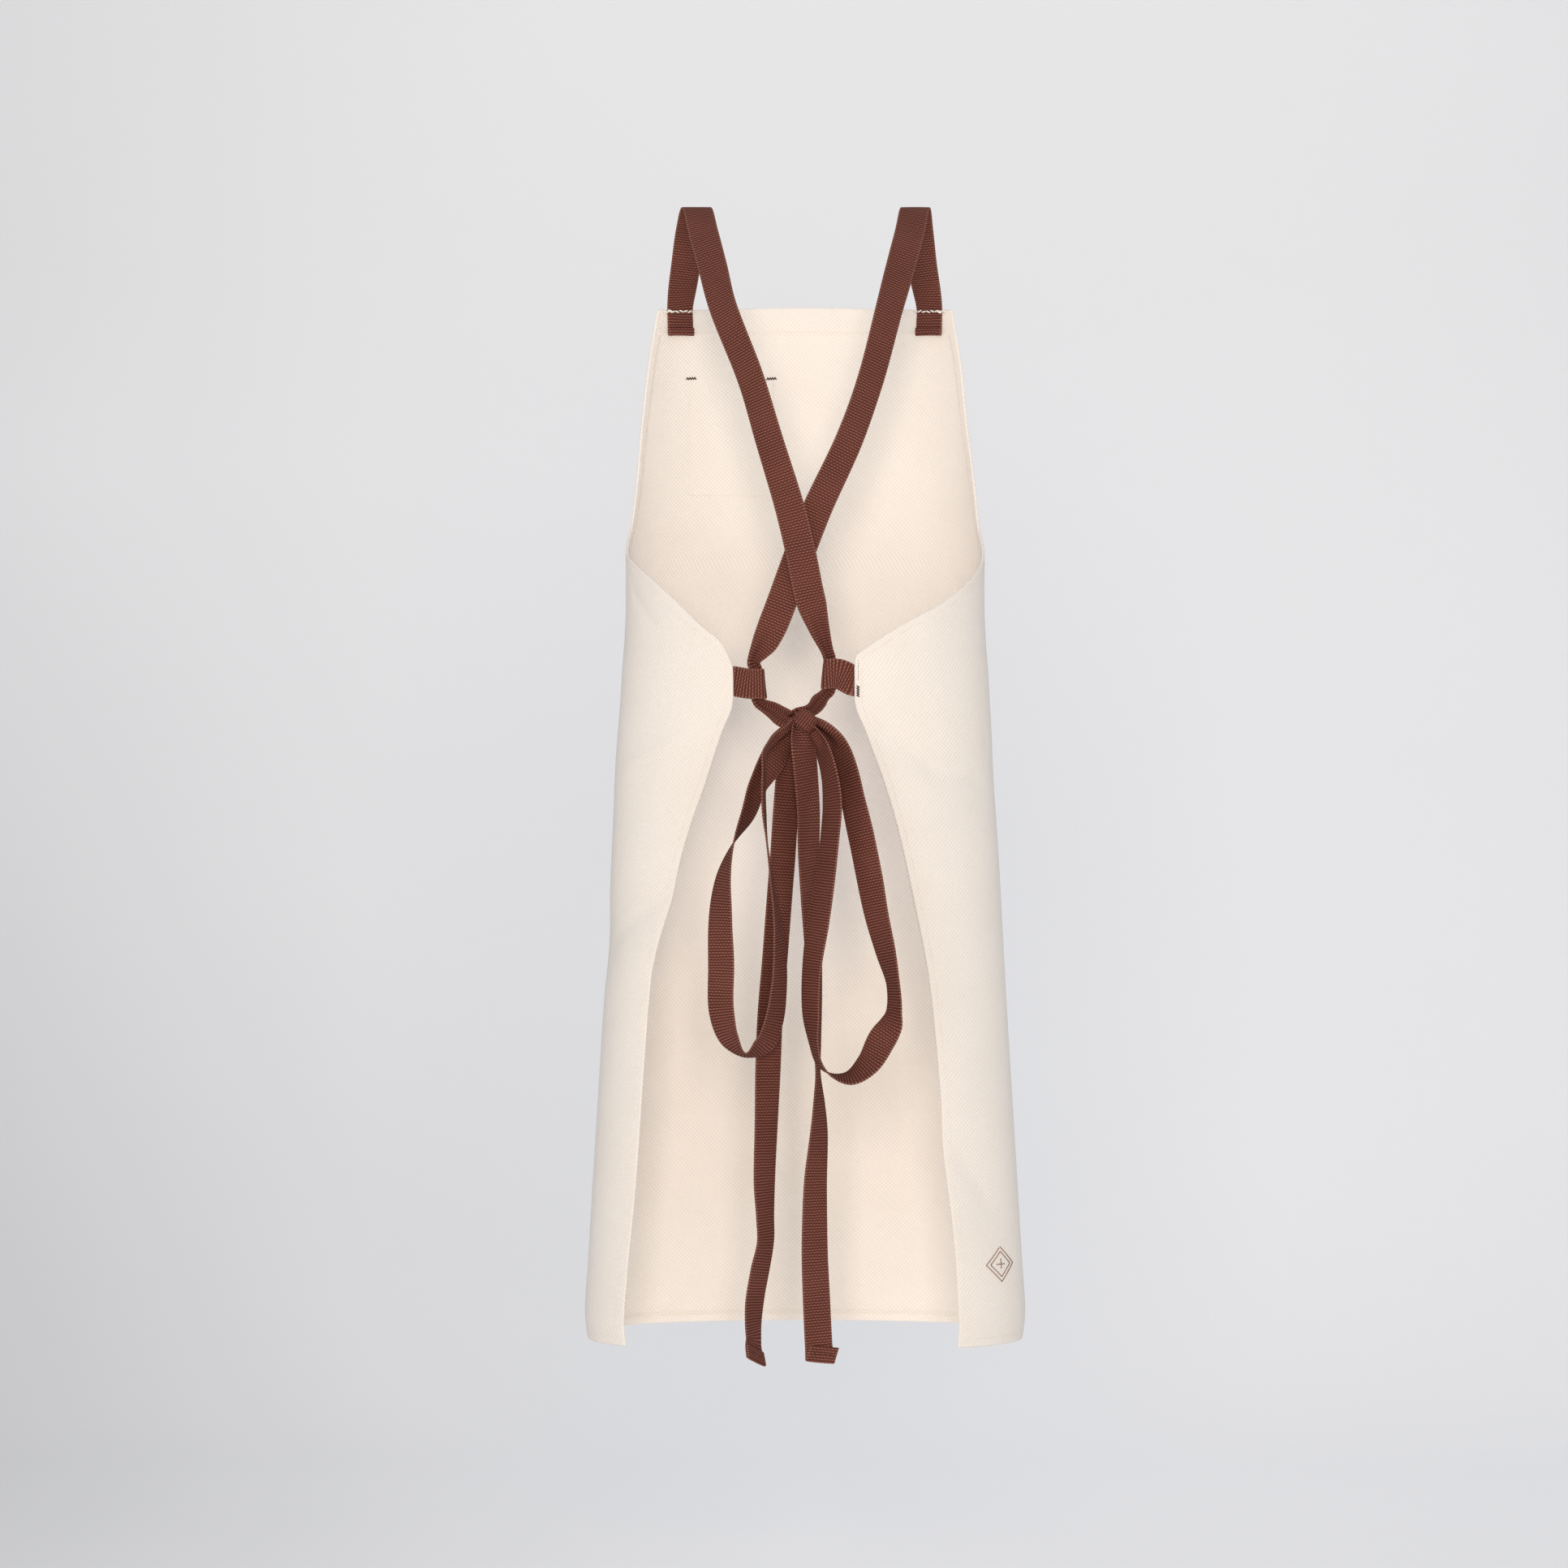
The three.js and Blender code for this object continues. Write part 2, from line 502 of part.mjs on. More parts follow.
// Webbing carried along a smooth line through stations, each with its middle, its width line and
// the shares of the webbing's width and thickness there.
function webbing(name, stations) {
  const curve = new THREE.CatmullRomCurve3(stations.map((s) => s.point), false, 'centripetal');
  const last = stations.length - 1;
  const corners = [];
  const sections = [];
  for (let i = 0; i < last; i += 1) {
    const steps = Math.max(1, Math.round(stations[i].point.distanceTo(stations[i + 1].point) / WEBBING_STEP));
    for (let k = 0; k < steps; k += 1) {
      sections.push(i + k / steps);
    }
  }
  sections.push(last);
  for (const place of sections) {
    const i = Math.min(last - 1, Math.floor(place));
    const t = place - i;
    const from = stations[i];
    const to = stations[i + 1];
    const point = curve.getPoint(place / last);
    const along = curve.getTangent(place / last);
    const across = lineAcross(from, to, t, along);
    const through = along.clone().cross(across).normalize();
    const halfWidth = (THREE.MathUtils.lerp(from.wide, to.wide, t) * WEBBING_WIDTH) / 2;
    const halfThickness = (THREE.MathUtils.lerp(from.thick, to.thick, t) * WEBBING_THICKNESS) / 2;
    for (const [u, v] of [[-1, -1], [1, -1], [1, 1], [-1, 1]]) {
      const corner = point.clone().addScaledVector(across, u * halfWidth);
      corner.addScaledVector(through, v * halfThickness);
      corners.push(corner.x, corner.y, corner.z);
    }
  }
  const faces = [];
  for (let s = 0; s < sections.length - 1; s += 1) {
    for (let e = 0; e < 4; e += 1) {
      const a = 4 * s + e;
      const b = 4 * s + ((e + 1) % 4);
      faces.push(a, b, b + 4, a, b + 4, a + 4);
    }
  }
  const end = 4 * (sections.length - 1);
  faces.push(0, 2, 1, 0, 3, 2, end, end + 1, end + 2, end, end + 2, end + 3);
  return namedMesh(name, closedGeometry(corners, faces), WEBBING);
}

// The width line between two stations: either a fixed direction squared to the run, or an angle
// turned from the line that lies flat in the picture.
function lineAcross(from, to, t, along) {
  if (from.turn !== undefined) {
    const turn = THREE.MathUtils.degToRad(THREE.MathUtils.lerp(from.turn, to.turn, t));
    const depth = new THREE.Vector3(0, 1, 0);
    const flat = along.clone().cross(depth).normalize();
    const outward = flat.clone().cross(along).normalize();
    return flat.multiplyScalar(Math.cos(turn)).addScaledVector(outward, Math.sin(turn));
  }
  const line = from.line.clone().lerp(to.line, t);
  return line.addScaledVector(along, -line.dot(along)).normalize();
}

// One shoulder strap: sewn to the inside of the bib's top hem, over the shoulder, across the
// back, gathered down through the far side loop, and on to the knot.
function shoulderStrap(name, side, route, loop) {
  const flat = new THREE.Vector3(side, 0, 0);
  const station = (point, wide = 1, thick = 1, line = flat) => ({ point, wide, thick, line });
  const stations = [];
  const sag = WEBBING_WIDTH ** 2 / (8 * FRONT_DEPTH);
  const gap = CLEARANCE + sag + WEBBING_THICKNESS / 2;
  for (const drop of [STUB_LENGTH, STUB_LENGTH / 2, 0]) {
    const down = drop / APRON_LENGTH;
    const turn = turnForAcross(down, side * (SEWN_ACROSS + STUB_SPLAY * drop));
    const facing = clothNormal(down, turn);
    const line = new THREE.Vector3(0, 0, 1).cross(facing).multiplyScalar(-side);
    stations.push(station(insidePoint(down, turn, gap), 1, 1, line));
  }
  for (const row of route) {
    const depth = row.deep > 0 ? FRONT_DEPTH : BACK_DEPTH;
    const point = new THREE.Vector3(row.across * CHEST_HALF_WIDTH, row.deep * depth, row.down * LOOP_Z);
    stations.push(station(point, row.wide, row.thick));
  }
  const half = WEBBING_WIDTH / 2;
  const thick = GATHERED_THICKNESS / WEBBING_THICKNESS;
  for (const lift of [half + LOOP_LEAD, half, -half, -half - LOOP_LEAD]) {
    stations.push(station(new THREE.Vector3(loop.passX, loop.y, loop.z + lift), GATHER, thick));
  }
  const leaving = new THREE.Vector3(loop.passX, loop.y, loop.z - half - LOOP_LEAD);
  const seats = knotSeats(leaving.clone().sub(KNOT).setY(0));
  stations.push(station(leaving.clone().lerp(seats[1], 0.5), NECK_WIDE, NECK_THICK));
  stations.push(station(seats[1], KNOT_GATHER, 1 / KNOT_GATHER));
  stations.push(station(seats[0], KNOT_GATHER, 1 / KNOT_GATHER));
  return webbing(name, stations.map((s) => ({ ...s, line: s.line.clone().multiplyScalar(side) })));
}

// A side loop: webbing folded back on itself round the gathered strap, with both ends sewn to
// the inside of the wing's corner.
function sideLoop(name, loop) {
  const upright = new THREE.Vector3(0, 0, 1);
  const half = LOOP_HALF_DEPTH;
  const fold = loop.foldX + (loop.side * WEBBING_THICKNESS) / 2;
  const bend = loop.foldX + loop.side * LOOP_BEND;
  const held = loop.passX + loop.side * (GATHERED_WIDTH / 2 + CLEARANCE);
  const places = [
    ...loop.frontSeat,
    new THREE.Vector3(held, loop.y - half, loop.z),
    new THREE.Vector3(bend, loop.y - half, loop.z),
    new THREE.Vector3(fold, loop.y, loop.z),
    new THREE.Vector3(bend, loop.y + half, loop.z),
    new THREE.Vector3(held, loop.y + half, loop.z),
    ...loop.backSeat,
  ];
  return webbing(name, places.map((point) => ({ point, wide: 1, thick: 1, line: upright })));
}

// Where a side loop sits: at the wing's corner, reaching in to the strap that it holds.
function sideLoopPlace(side, rise) {
  const reach = readTable(CLOTH_SECTIONS, 'down', side < 0 ? 'left' : 'right', LOOP_DOWN);
  const edge = clothPoint(LOOP_DOWN, side * reach);
  const foldX = edge.x - side * LOOP_LENGTH;
  const passX = foldX + side * (LOOP_BEND + CLEARANCE + GATHERED_WIDTH / 2);
  const inward = reach - THREE.MathUtils.radToDeg(SIDE_HEM / edge.length());
  const seat = (turn, layer) => {
    const gap = CLEARANCE + WEBBING_THICKNESS / 2 + layer * (WEBBING_THICKNESS + CLEARANCE);
    const point = insidePoint(LOOP_DOWN, side * turn, gap);
    return point.setZ(edge.z);
  };
  const frontSeat = [seat(inward, 0), seat(reach, 0)];
  const backSeat = [seat(reach, 1), seat(inward, 1)];
  const y = edge.y + HEM_THICKNESS + LOOP_SLOT / 2;
  return { side, foldX, passX, y, z: edge.z + rise, frontSeat, backSeat };
}

// Where webbing that leaves the knot in a direction meets it: a clearance off the knot's surface,
// and a short straight lead further out.
function knotSeats(direction) {
  const away = direction.clone().normalize();
  const turned = away.clone().applyQuaternion(new THREE.Quaternion().setFromEuler(KNOT_TURN).invert());
  const power = 2 / KNOT_SQUARENESS;
  const x = Math.abs((2 * turned.x) / KNOT_DEPTH);
  const y = Math.abs((2 * turned.y) / KNOT_WIDTH);
  const z = Math.abs((2 * turned.z) / KNOT_HEIGHT);
  const reach = (x ** power + y ** power + z ** power) ** (-1 / power) + KNOT_CLEARANCE;
  return [reach, reach + KNOT_APPROACH].map((length) => KNOT.clone().addScaledVector(away, length));
}

// A bow loop or a tail. Its first row, and a bow loop's last row too, gives the direction in which
// the gathered webbing leaves the knot.
function bowPiece(name, route, drop, endsAtKnot) {
  const offset = (row) => {
    return new THREE.Vector3(row.across * BOW_HALF_SPREAD, -row.out * BOW_STAND, -row.down * drop);
  };
  const seated = (row) => knotSeats(offset(row)).map((point) => {
    return { point, turn: row.turn, wide: KNOT_GATHER, thick: 1 / KNOT_GATHER };
  });
  const middle = route.slice(1, endsAtKnot ? -1 : undefined).map((row) => {
    return { point: KNOT.clone().add(offset(row)), turn: row.turn, wide: row.wide ?? 1, thick: row.thick ?? 1 };
  });
  const stations = [...seated(route[0]), ...middle];
  if (endsAtKnot) {
    stations.push(...seated(route[route.length - 1]).reverse());
  }
  return webbing(name, stations);
}

// The knot: the wrap of webbing that holds the bow, as one rounded body turned in the picture.
function bowKnot() {
  const points = [0, -KNOT_WIDTH / 2, 0];
  const rounded = (value) => Math.sign(value) * Math.abs(value) ** KNOT_SQUARENESS;
  for (let r = 1; r < KNOT_RINGS; r += 1) {
    const tilt = (Math.PI * r) / KNOT_RINGS;
    for (let s = 0; s < KNOT_SIDES; s += 1) {
      const angle = (2 * Math.PI * s) / KNOT_SIDES;
      const girth = rounded(Math.sin(tilt));
      points.push((girth * rounded(Math.cos(angle)) * KNOT_DEPTH) / 2);
      points.push((-rounded(Math.cos(tilt)) * KNOT_WIDTH) / 2);
      points.push((girth * rounded(Math.sin(angle)) * KNOT_HEIGHT) / 2);
    }
  }
  points.push(0, KNOT_WIDTH / 2, 0);
  const end = 1 + (KNOT_RINGS - 1) * KNOT_SIDES;
  const faces = [];
  const at = (r, s) => 1 + (r - 1) * KNOT_SIDES + (s % KNOT_SIDES);
  for (let s = 0; s < KNOT_SIDES; s += 1) {
    faces.push(0, at(1, s), at(1, s + 1));
    faces.push(end, at(KNOT_RINGS - 1, s + 1), at(KNOT_RINGS - 1, s));
    for (let r = 1; r < KNOT_RINGS - 1; r += 1) {
      faces.push(at(r, s), at(r + 1, s), at(r + 1, s + 1));
      faces.push(at(r, s), at(r + 1, s + 1), at(r, s + 1));
    }
  }
  const mesh = namedMesh('bow_knot', closedGeometry(points, faces), WEBBING);
  mesh.position.copy(KNOT);
  mesh.rotation.copy(KNOT_TURN);
  return mesh;
}

const leftLoop = sideLoopPlace(-1, LEFT_LOOP_RISE);
const rightLoop = sideLoopPlace(1, RIGHT_LOOP_RISE);

const apron = new THREE.Group();
apron.add(apronPanel());
apron.add(chestPocket());
apron.add(shoulderStrap('shoulder_strap_left', -1, LEFT_STRAP_ROUTE, rightLoop));
apron.add(shoulderStrap('shoulder_strap_right', 1, RIGHT_STRAP_ROUTE, leftLoop));
apron.add(sideLoop('side_loop_left', leftLoop));
apron.add(sideLoop('side_loop_right', rightLoop));
apron.add(bowKnot());
apron.add(bowPiece('bow_loop_left', LEFT_BOW_ROUTE, LEFT_BOW_DROP, true));
apron.add(bowPiece('bow_loop_right', RIGHT_BOW_ROUTE, RIGHT_BOW_DROP, true));
apron.add(bowPiece('tie_tail_left', LEFT_TAIL_ROUTE, TAIL_LENGTH, false));
apron.add(bowPiece('tie_tail_right', RIGHT_TAIL_ROUTE, TAIL_LENGTH, false));

export default apron;
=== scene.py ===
"""A bib apron of unbleached cotton canvas with brown cotton webbing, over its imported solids.

Shapes are worked out in millimetres and put into the meshes in metres, in the row frame: +Z is up,
the wearer's front is at +Y and the bow is at -Y. Every surface is a numpy grid of two parameters.
"""

import logging
from dataclasses import dataclass, field
from enum import Enum

import bpy
import numpy as np
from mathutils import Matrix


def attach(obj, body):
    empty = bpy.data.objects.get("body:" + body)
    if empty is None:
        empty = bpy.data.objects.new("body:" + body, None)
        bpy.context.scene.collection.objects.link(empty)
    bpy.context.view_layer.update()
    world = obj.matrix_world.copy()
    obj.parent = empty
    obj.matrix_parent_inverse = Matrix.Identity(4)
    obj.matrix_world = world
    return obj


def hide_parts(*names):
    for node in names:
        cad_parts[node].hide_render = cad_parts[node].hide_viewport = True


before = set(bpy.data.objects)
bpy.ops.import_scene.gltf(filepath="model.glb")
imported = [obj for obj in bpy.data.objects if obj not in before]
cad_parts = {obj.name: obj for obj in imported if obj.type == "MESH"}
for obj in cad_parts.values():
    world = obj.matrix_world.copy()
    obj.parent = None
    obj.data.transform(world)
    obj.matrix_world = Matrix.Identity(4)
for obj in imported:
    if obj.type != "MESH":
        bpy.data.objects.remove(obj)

LOG = logging.getLogger("apron")
MM = 0.001
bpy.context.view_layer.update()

# Sizes that several parts share, in millimetres
WEBBING_WIDTH = 25.0
LEFT_BOW_DROP = 280.0
RIGHT_BOW_DROP = 300.0
TAIL_DROP = 536.0
ROUND_OVER = 1.1
ROUND_OVER_RADIUS = 1.12
EDGE_STEPS = (0, 0.3, 0.8, 1.6)
# Where the straps are sewn, as a share of the chest's half width
SEWN_ACROSS = 0.722


# Tables and curves


def read_column(table: np.ndarray, column: int, at: np.ndarray) -> np.ndarray:
    """Read a column of a table between its rows with a cubic that never overshoots.

    Args:
        table: rows sorted by their first column.
        column: the column to read.
        at: places along the first column.

    Returns:
        The values, each a Hermite cubic between two rows whose slope at a row is the harmonic
        mean of the slopes beside it, or zero at a turning point.
    """
    x, y = table[:, 0], table[:, column]
    step = np.diff(x)
    slope = np.diff(y) / step
    before, after = slope[:-1], slope[1:]
    product = before * after
    total = np.where(product > 0, before + after, 1.0)
    mean = np.where(product > 0, 2 * product / total, 0.0)
    slopes = np.concatenate([slope[:1], mean, slope[-1:]])
    i = np.clip(np.searchsorted(x, at, side="right") - 1, 0, len(step) - 1)
    t = np.clip((at - x[i]) / step[i], 0, 1)
    bend = step[i] * t * (1 - t) * ((1 - t) * slopes[i] - t * slopes[i + 1])
    return y[i] + (y[i + 1] - y[i]) * t * t * (3 - 2 * t) + bend


def smooth_step(value: np.ndarray) -> np.ndarray:
    """Ease from 0 to 1 as the value goes from 0 to 1: 3t^2 - 2t^3.

    Args:
        value: any values.

    Returns:
        The eased values, 0 below 0 and 1 above 1.
    """
    t = np.clip(value, 0, 1)
    return t * t * (3 - 2 * t)


def unit(vectors: np.ndarray) -> np.ndarray:
    """Scale the last axis of an array of vectors to length 1.

    Args:
        vectors: vectors along the last axis.

    Returns:
        The unit vectors.
    """
    return vectors / np.maximum(np.linalg.norm(vectors, axis=-1, keepdims=True), 1e-12)


def curve_through(points: np.ndarray, places: np.ndarray) -> np.ndarray:
    """Follow a centripetal Catmull-Rom curve through points.

    Args:
        points: (n, 3) points.
        places: places along the curve, where 1.5 is halfway from point 1 to point 2.

    Returns:
        One point a place. Between two points it is the Hermite cubic whose slopes come from the
        neighbours, weighted by the square roots of the distances.
    """
    ends = [2 * points[:1] - points[1:2], points, 2 * points[-1:] - points[-2:-1]]
    padded = np.concatenate(ends)
    i = np.clip(places.astype(int), 0, len(points) - 2)
    t = (places - i)[:, None]
    p0, p1, p2, p3 = padded[i], padded[i + 1], padded[i + 2], padded[i + 3]
    d0, d1, d2 = (
        np.maximum(np.linalg.norm(b - a, axis=1, keepdims=True), 1e-6) ** 0.5
        for a, b in ((p0, p1), (p1, p2), (p2, p3))
    )
    m1 = ((p1 - p0) / d0 - (p2 - p0) / (d0 + d1) + (p2 - p1) / d1) * d1
    m2 = ((p2 - p1) / d1 - (p3 - p1) / (d1 + d2) + (p3 - p2) / d2) * d1
    h = t * t * (3 - 2 * t)
    return p1 + (p2 - p1) * h + t * (1 - t) ** 2 * m1 - t * t * (1 - t) * m2


def edge_taper(nearest: np.ndarray, thick: np.ndarray) -> np.ndarray:
    """Round a wall over at its border: 1 - sqrt(1 - (near / radius)^2) of half its thickness.

    Args:
        nearest: distances to the nearest border, in millimetres.
        thick: the wall's thickness at those places.

    Returns:
        How far each skin draws in, in millimetres.
    """
    near = np.clip(ROUND_OVER - nearest, 0, ROUND_OVER)
    return (1 - np.sqrt(1 - (near / ROUND_OVER_RADIUS) ** 2)) * thick / 2


# Meshes


@dataclass
class Shell:
    """A surface: points and a flat map in millimetres, quads, and 1 for the outer skin's points."""

    points: np.ndarray
    quads: np.ndarray
    flat_map: np.ndarray
    outer: np.ndarray

    @staticmethod
    def between(outer: np.ndarray, inner: np.ndarray, flat_map: np.ndarray) -> "Shell":
        """Close the wall between two grids of points.

        Args:
            outer: (rows, columns, 3) points of one skin.
            inner: the other skin, of the same shape.
            flat_map: (rows, columns, 2) places on the flat cloth.

        Returns:
            A closed shell: both skins, and a strip of quads round their border.
        """
        rows, columns = outer.shape[:2]
        at = np.arange(2 * rows * columns).reshape(2, rows, columns)

        def strip(a: np.ndarray, b: np.ndarray) -> np.ndarray:
            """Join two grids of point numbers by quads.

            Args:
                a: the numbers of one border.
                b: those of the other, of the same shape.

            Returns:
                (n, 4) quads.
            """
            return np.stack([a[..., :-1], a[..., 1:], b[..., 1:], b[..., :-1]], -1).reshape(-1, 4)

        top, under = at
        quads = np.concatenate([
            strip(top[:-1], top[1:]),
            strip(under[1:], under[:-1]),
            strip(under[0], top[0]),
            strip(top[-1], under[-1]),
            strip(top[:, 0], under[:, 0]),
            strip(under[:, -1], top[:, -1]),
        ])
        points = np.concatenate([outer.reshape(-1, 3), inner.reshape(-1, 3)])
        skin = np.repeat([1.0, 0.0], rows * columns)
        shell = Shell(points, quads, np.tile(flat_map.reshape(-1, 2), (2, 1)), skin)
        return shell.facing_out()

    @staticmethod
    def joined(shells: list["Shell"]) -> "Shell":
        """Put several shells into one, with their quads renumbered.

        Args:
            shells: the shells.

        Returns:
            One shell.
        """
        starts = np.cumsum([0] + [len(s.points) for s in shells[:-1]])
        return Shell(
            np.concatenate([s.points for s in shells]),
            np.concatenate([s.quads + start for s, start in zip(shells, starts)]),
            np.concatenate([s.flat_map for s in shells]),
            np.concatenate([s.outer for s in shells]),
        )

    def facing_out(self) -> "Shell":
        """Turn the quads round where the volume they enclose comes out negative.

        Returns:
            The shell with its quads facing out.
        """
        a, b, c, d = (self.points[self.quads[:, k]] for k in range(4))
        volume = np.einsum("ij,ij->", a, np.cross(b, c)) + np.einsum("ij,ij->", a, np.cross(c, d))
        quads = self.quads[:, ::-1] if volume < 0 else self.quads
        return Shell(self.points, quads, self.flat_map, self.outer)

    def make(
        self, name: str, material: bpy.types.Material, smooth: bool = True
    ) -> bpy.types.Object:
        """Make an object of the shell, at the origin, with its flat map in metres.

        Args:
            name: the object's name.
            material: its only material.
            smooth: shade it smooth.

        Returns:
            The object, linked to the scene.
        """
        mesh = bpy.data.meshes.new(name)
        mesh.from_pydata((self.points * MM).tolist(), [], self.quads.tolist())
        corners = np.empty(len(mesh.loops), dtype=np.int32)
        mesh.loops.foreach_get("vertex_index", corners)
        layer = mesh.uv_layers.new(name="flat")
        layer.data.foreach_set("uv", (self.flat_map[corners] * MM).astype(np.float32).ravel())
        skin = mesh.attributes.new("outer", "FLOAT", "POINT")
        skin.data.foreach_set("value", self.outer.astype(np.float32))
        mesh.polygons.foreach_set("use_smooth", np.full(len(mesh.polygons), smooth))
        mesh.materials.append(material)
        piece = bpy.data.objects.new(name, mesh)
        bpy.context.scene.collection.objects.link(piece)
        LOG.info("%s: %d points, %d quads", name, len(self.points), len(self.quads))
        return piece


# Finishes


def linear(hex_colour: str) -> tuple[float, float, float, float]:
    """Turn an sRGB hex colour such as '#6b3f36' into linear red, green, blue and alpha.

    Args:
        hex_colour: the colour.

    Returns:
        The linear values.
    """
    value = np.array([int(hex_colour[i:i + 2], 16) for i in (1, 3, 5)]) / 255
    flat = np.where(value <= 0.04045, value / 12.92, ((value + 0.055) / 1.055) ** 2.4)
    return (*(float(v) for v in flat), 1.0)


def add_node(
    tree: bpy.types.NodeTree, kind: str, settings: dict | None = None, inputs: dict | None = None
) -> bpy.types.Node:
    """Add a node, set its properties, and set or link its inputs.

    Args:
        tree: the node tree.
        kind: the node's type name.
        settings: property names and values.
        inputs: input names or numbers, each with a value or an output socket to link from.

    Returns:
        The node.
    """
    node = tree.nodes.new(kind)
    for key, value in (settings or {}).items():
        setattr(node, key, value)
    for key, value in (inputs or {}).items():
        if isinstance(value, bpy.types.NodeSocket):
            tree.links.new(value, node.inputs[key])
        else:
            node.inputs[key].default_value = value
    return node


class Pattern:
    """A material's node tree with short ways to write its arithmetic."""

    def __init__(self, name: str) -> None:
        """Start an empty material.

        Args:
            name: the material's name.
        """
        self.material = bpy.data.materials.new(name)
        self.material.use_nodes = True
        self.tree = self.material.node_tree
        self.tree.nodes.clear()

    def add(
        self, kind: str, settings: dict | None = None, inputs: dict | None = None
    ) -> bpy.types.Node:
        """Add a node to this tree.

        Args:
            kind: the node's type name.
            settings: property names and values.
            inputs: input names or numbers, each with a value or a socket to link from.

        Returns:
            The node.
        """
        return add_node(self.tree, kind, settings, inputs)

    def math(self, operation: str, *values: object) -> bpy.types.NodeSocket:
        """Add a Math node on one to three values or sockets and give its output.

        Args:
            operation: the Math node's operation.
            *values: its inputs in order.

        Returns:
            The output socket.
        """
        inputs = dict(enumerate(values))
        return self.add("ShaderNodeMath", {"operation": operation}, inputs).outputs[0]

    def flat_place(self) -> tuple[bpy.types.NodeSocket, bpy.types.NodeSocket, bpy.types.NodeSocket]:
        """Give the flat map as a vector, its place across and its place along, in metres.

        Returns:
            The three sockets.
        """
        place = self.add("ShaderNodeUVMap", {"uv_map": "flat"}).outputs[0]
        split = self.add("ShaderNodeSeparateXYZ", inputs={0: place})
        return place, split.outputs[0], split.outputs[1]

    def wave(self, place: bpy.types.NodeSocket, pitch_mm: float) -> bpy.types.NodeSocket:
        """Give sin(2 pi place / pitch) of a place in metres.

        Args:
            place: the place.
            pitch_mm: the length of one wave, in millimetres.

        Returns:
            The output socket.
        """
        return self.math("SINE", self.math("MULTIPLY", place, 2 * np.pi / (pitch_mm * MM)))

    def noise(
        self, place: bpy.types.NodeSocket, size_mm: float, detail: float = 2.0
    ) -> bpy.types.NodeSocket:
        """Give noise from 0 to 1 whose grain is about the given size.

        Args:
            place: the place in metres.
            size_mm: the size of the grain, in millimetres.
            detail: how many finer octaves it has.

        Returns:
            The output socket.
        """
        inputs = {"Vector": place, "Scale": 1 / (size_mm * MM), "Detail": detail}
        return self.add("ShaderNodeTexNoise", inputs=inputs).outputs[0]

    def ramp(self, factor: bpy.types.NodeSocket, low: object, high: object) -> bpy.types.NodeSocket:
        """Mix two colours, each given in linear values or as a socket.

        Args:
            factor: 0 for the first colour, 1 for the second.
            low: the first colour.
            high: the second colour.

        Returns:
            The output socket.
        """
        node = self.add("ShaderNodeMix", {"data_type": "RGBA"}, {0: factor, 6: low, 7: high})
        return node.outputs[2]

    def finish(
        self,
        colour: object,
        height: bpy.types.NodeSocket | None,
        relief_mm: float,
        constants: dict[str, object],
    ) -> bpy.types.Material:
        """End the tree in a principled shader with a bump.

        Args:
            colour: linear values or a socket.
            height: the relief from 0 to 1, or None.
            relief_mm: how deep the relief is.
            constants: the shader's own sockets and their values.

        Returns:
            The material.
        """
        inputs = {"Base Color": colour, **constants}
        if height is not None:
            relief = {"Strength": 1.0, "Distance": relief_mm * MM, "Height": height}
            inputs["Normal"] = self.add("ShaderNodeBump", inputs=relief).outputs[0]
        shader = self.add("ShaderNodeBsdfPrincipled", inputs=inputs)
        self.add("ShaderNodeOutputMaterial", inputs={0: shader.outputs[0]})
        return self.material


@dataclass(frozen=True)
class CottonCanvas:
    """Unbleached cotton canvas, woven: matt, with a small diagonal lattice and slubs.

    The outer face is painted a shade darker than the inner one: painted shade, so that the wings
    read darker than the inside of the bib.

    The yarn pitch is about 0.7 mm, too fine to show, so the lattice is drawn at 2.6 mm.
    """

    name: str = "cotton_canvas_woven"
    pale: str = "#fbf5ee"
    shade: str = "#e3dacf"
    outer_painted_shade: float = 0.11
    lattice_mm: float = 2.6
    relief_mm: float = 0.34

    def build(self) -> bpy.types.Material:
        """Make the material: two crossed diagonal waves, a slub noise, a broad mottle and painted
        shade on the outer skin.

        Returns:
            The material.
        """
        p = Pattern(self.name)
        place, across, along = p.flat_place()
        falling = p.wave(p.math("ADD", across, along), self.lattice_mm * 2 ** 0.5)
        rising = p.wave(p.math("SUBTRACT", across, along), self.lattice_mm * 2 ** 0.5)
        lattice = p.math("MULTIPLY_ADD", falling, 0.28, p.math("MULTIPLY_ADD", rising, 0.16, 0.5))
        slub = p.noise(place, 1.3, 3.0)
        mottle = p.noise(place, 55.0, 2.0)
        height = p.math("MULTIPLY_ADD", slub, 0.45, lattice)
        tone = p.math("MULTIPLY_ADD", lattice, 0.55, p.math("MULTIPLY", slub, 0.35))
        tone = p.math("MULTIPLY_ADD", mottle, 0.25, tone)
        colour = p.ramp(tone, linear(self.shade), linear(self.pale))
        # Painted shade: the outer skin's colour is mixed a share of the way to black.
        outer = p.add("ShaderNodeAttribute", {"attribute_name": "outer"}).outputs["Fac"]
        colour = p.ramp(p.math("MULTIPLY", outer, self.outer_painted_shade), colour, (0.0, 0.0, 0.0, 1.0))
        constants = {
            "Roughness": 0.92,
            "Sheen Weight": 0.05,
            "Sheen Roughness": 0.6,
            "Specular IOR Level": 0.2,
        }
        return p.finish(colour, height, self.relief_mm, constants)


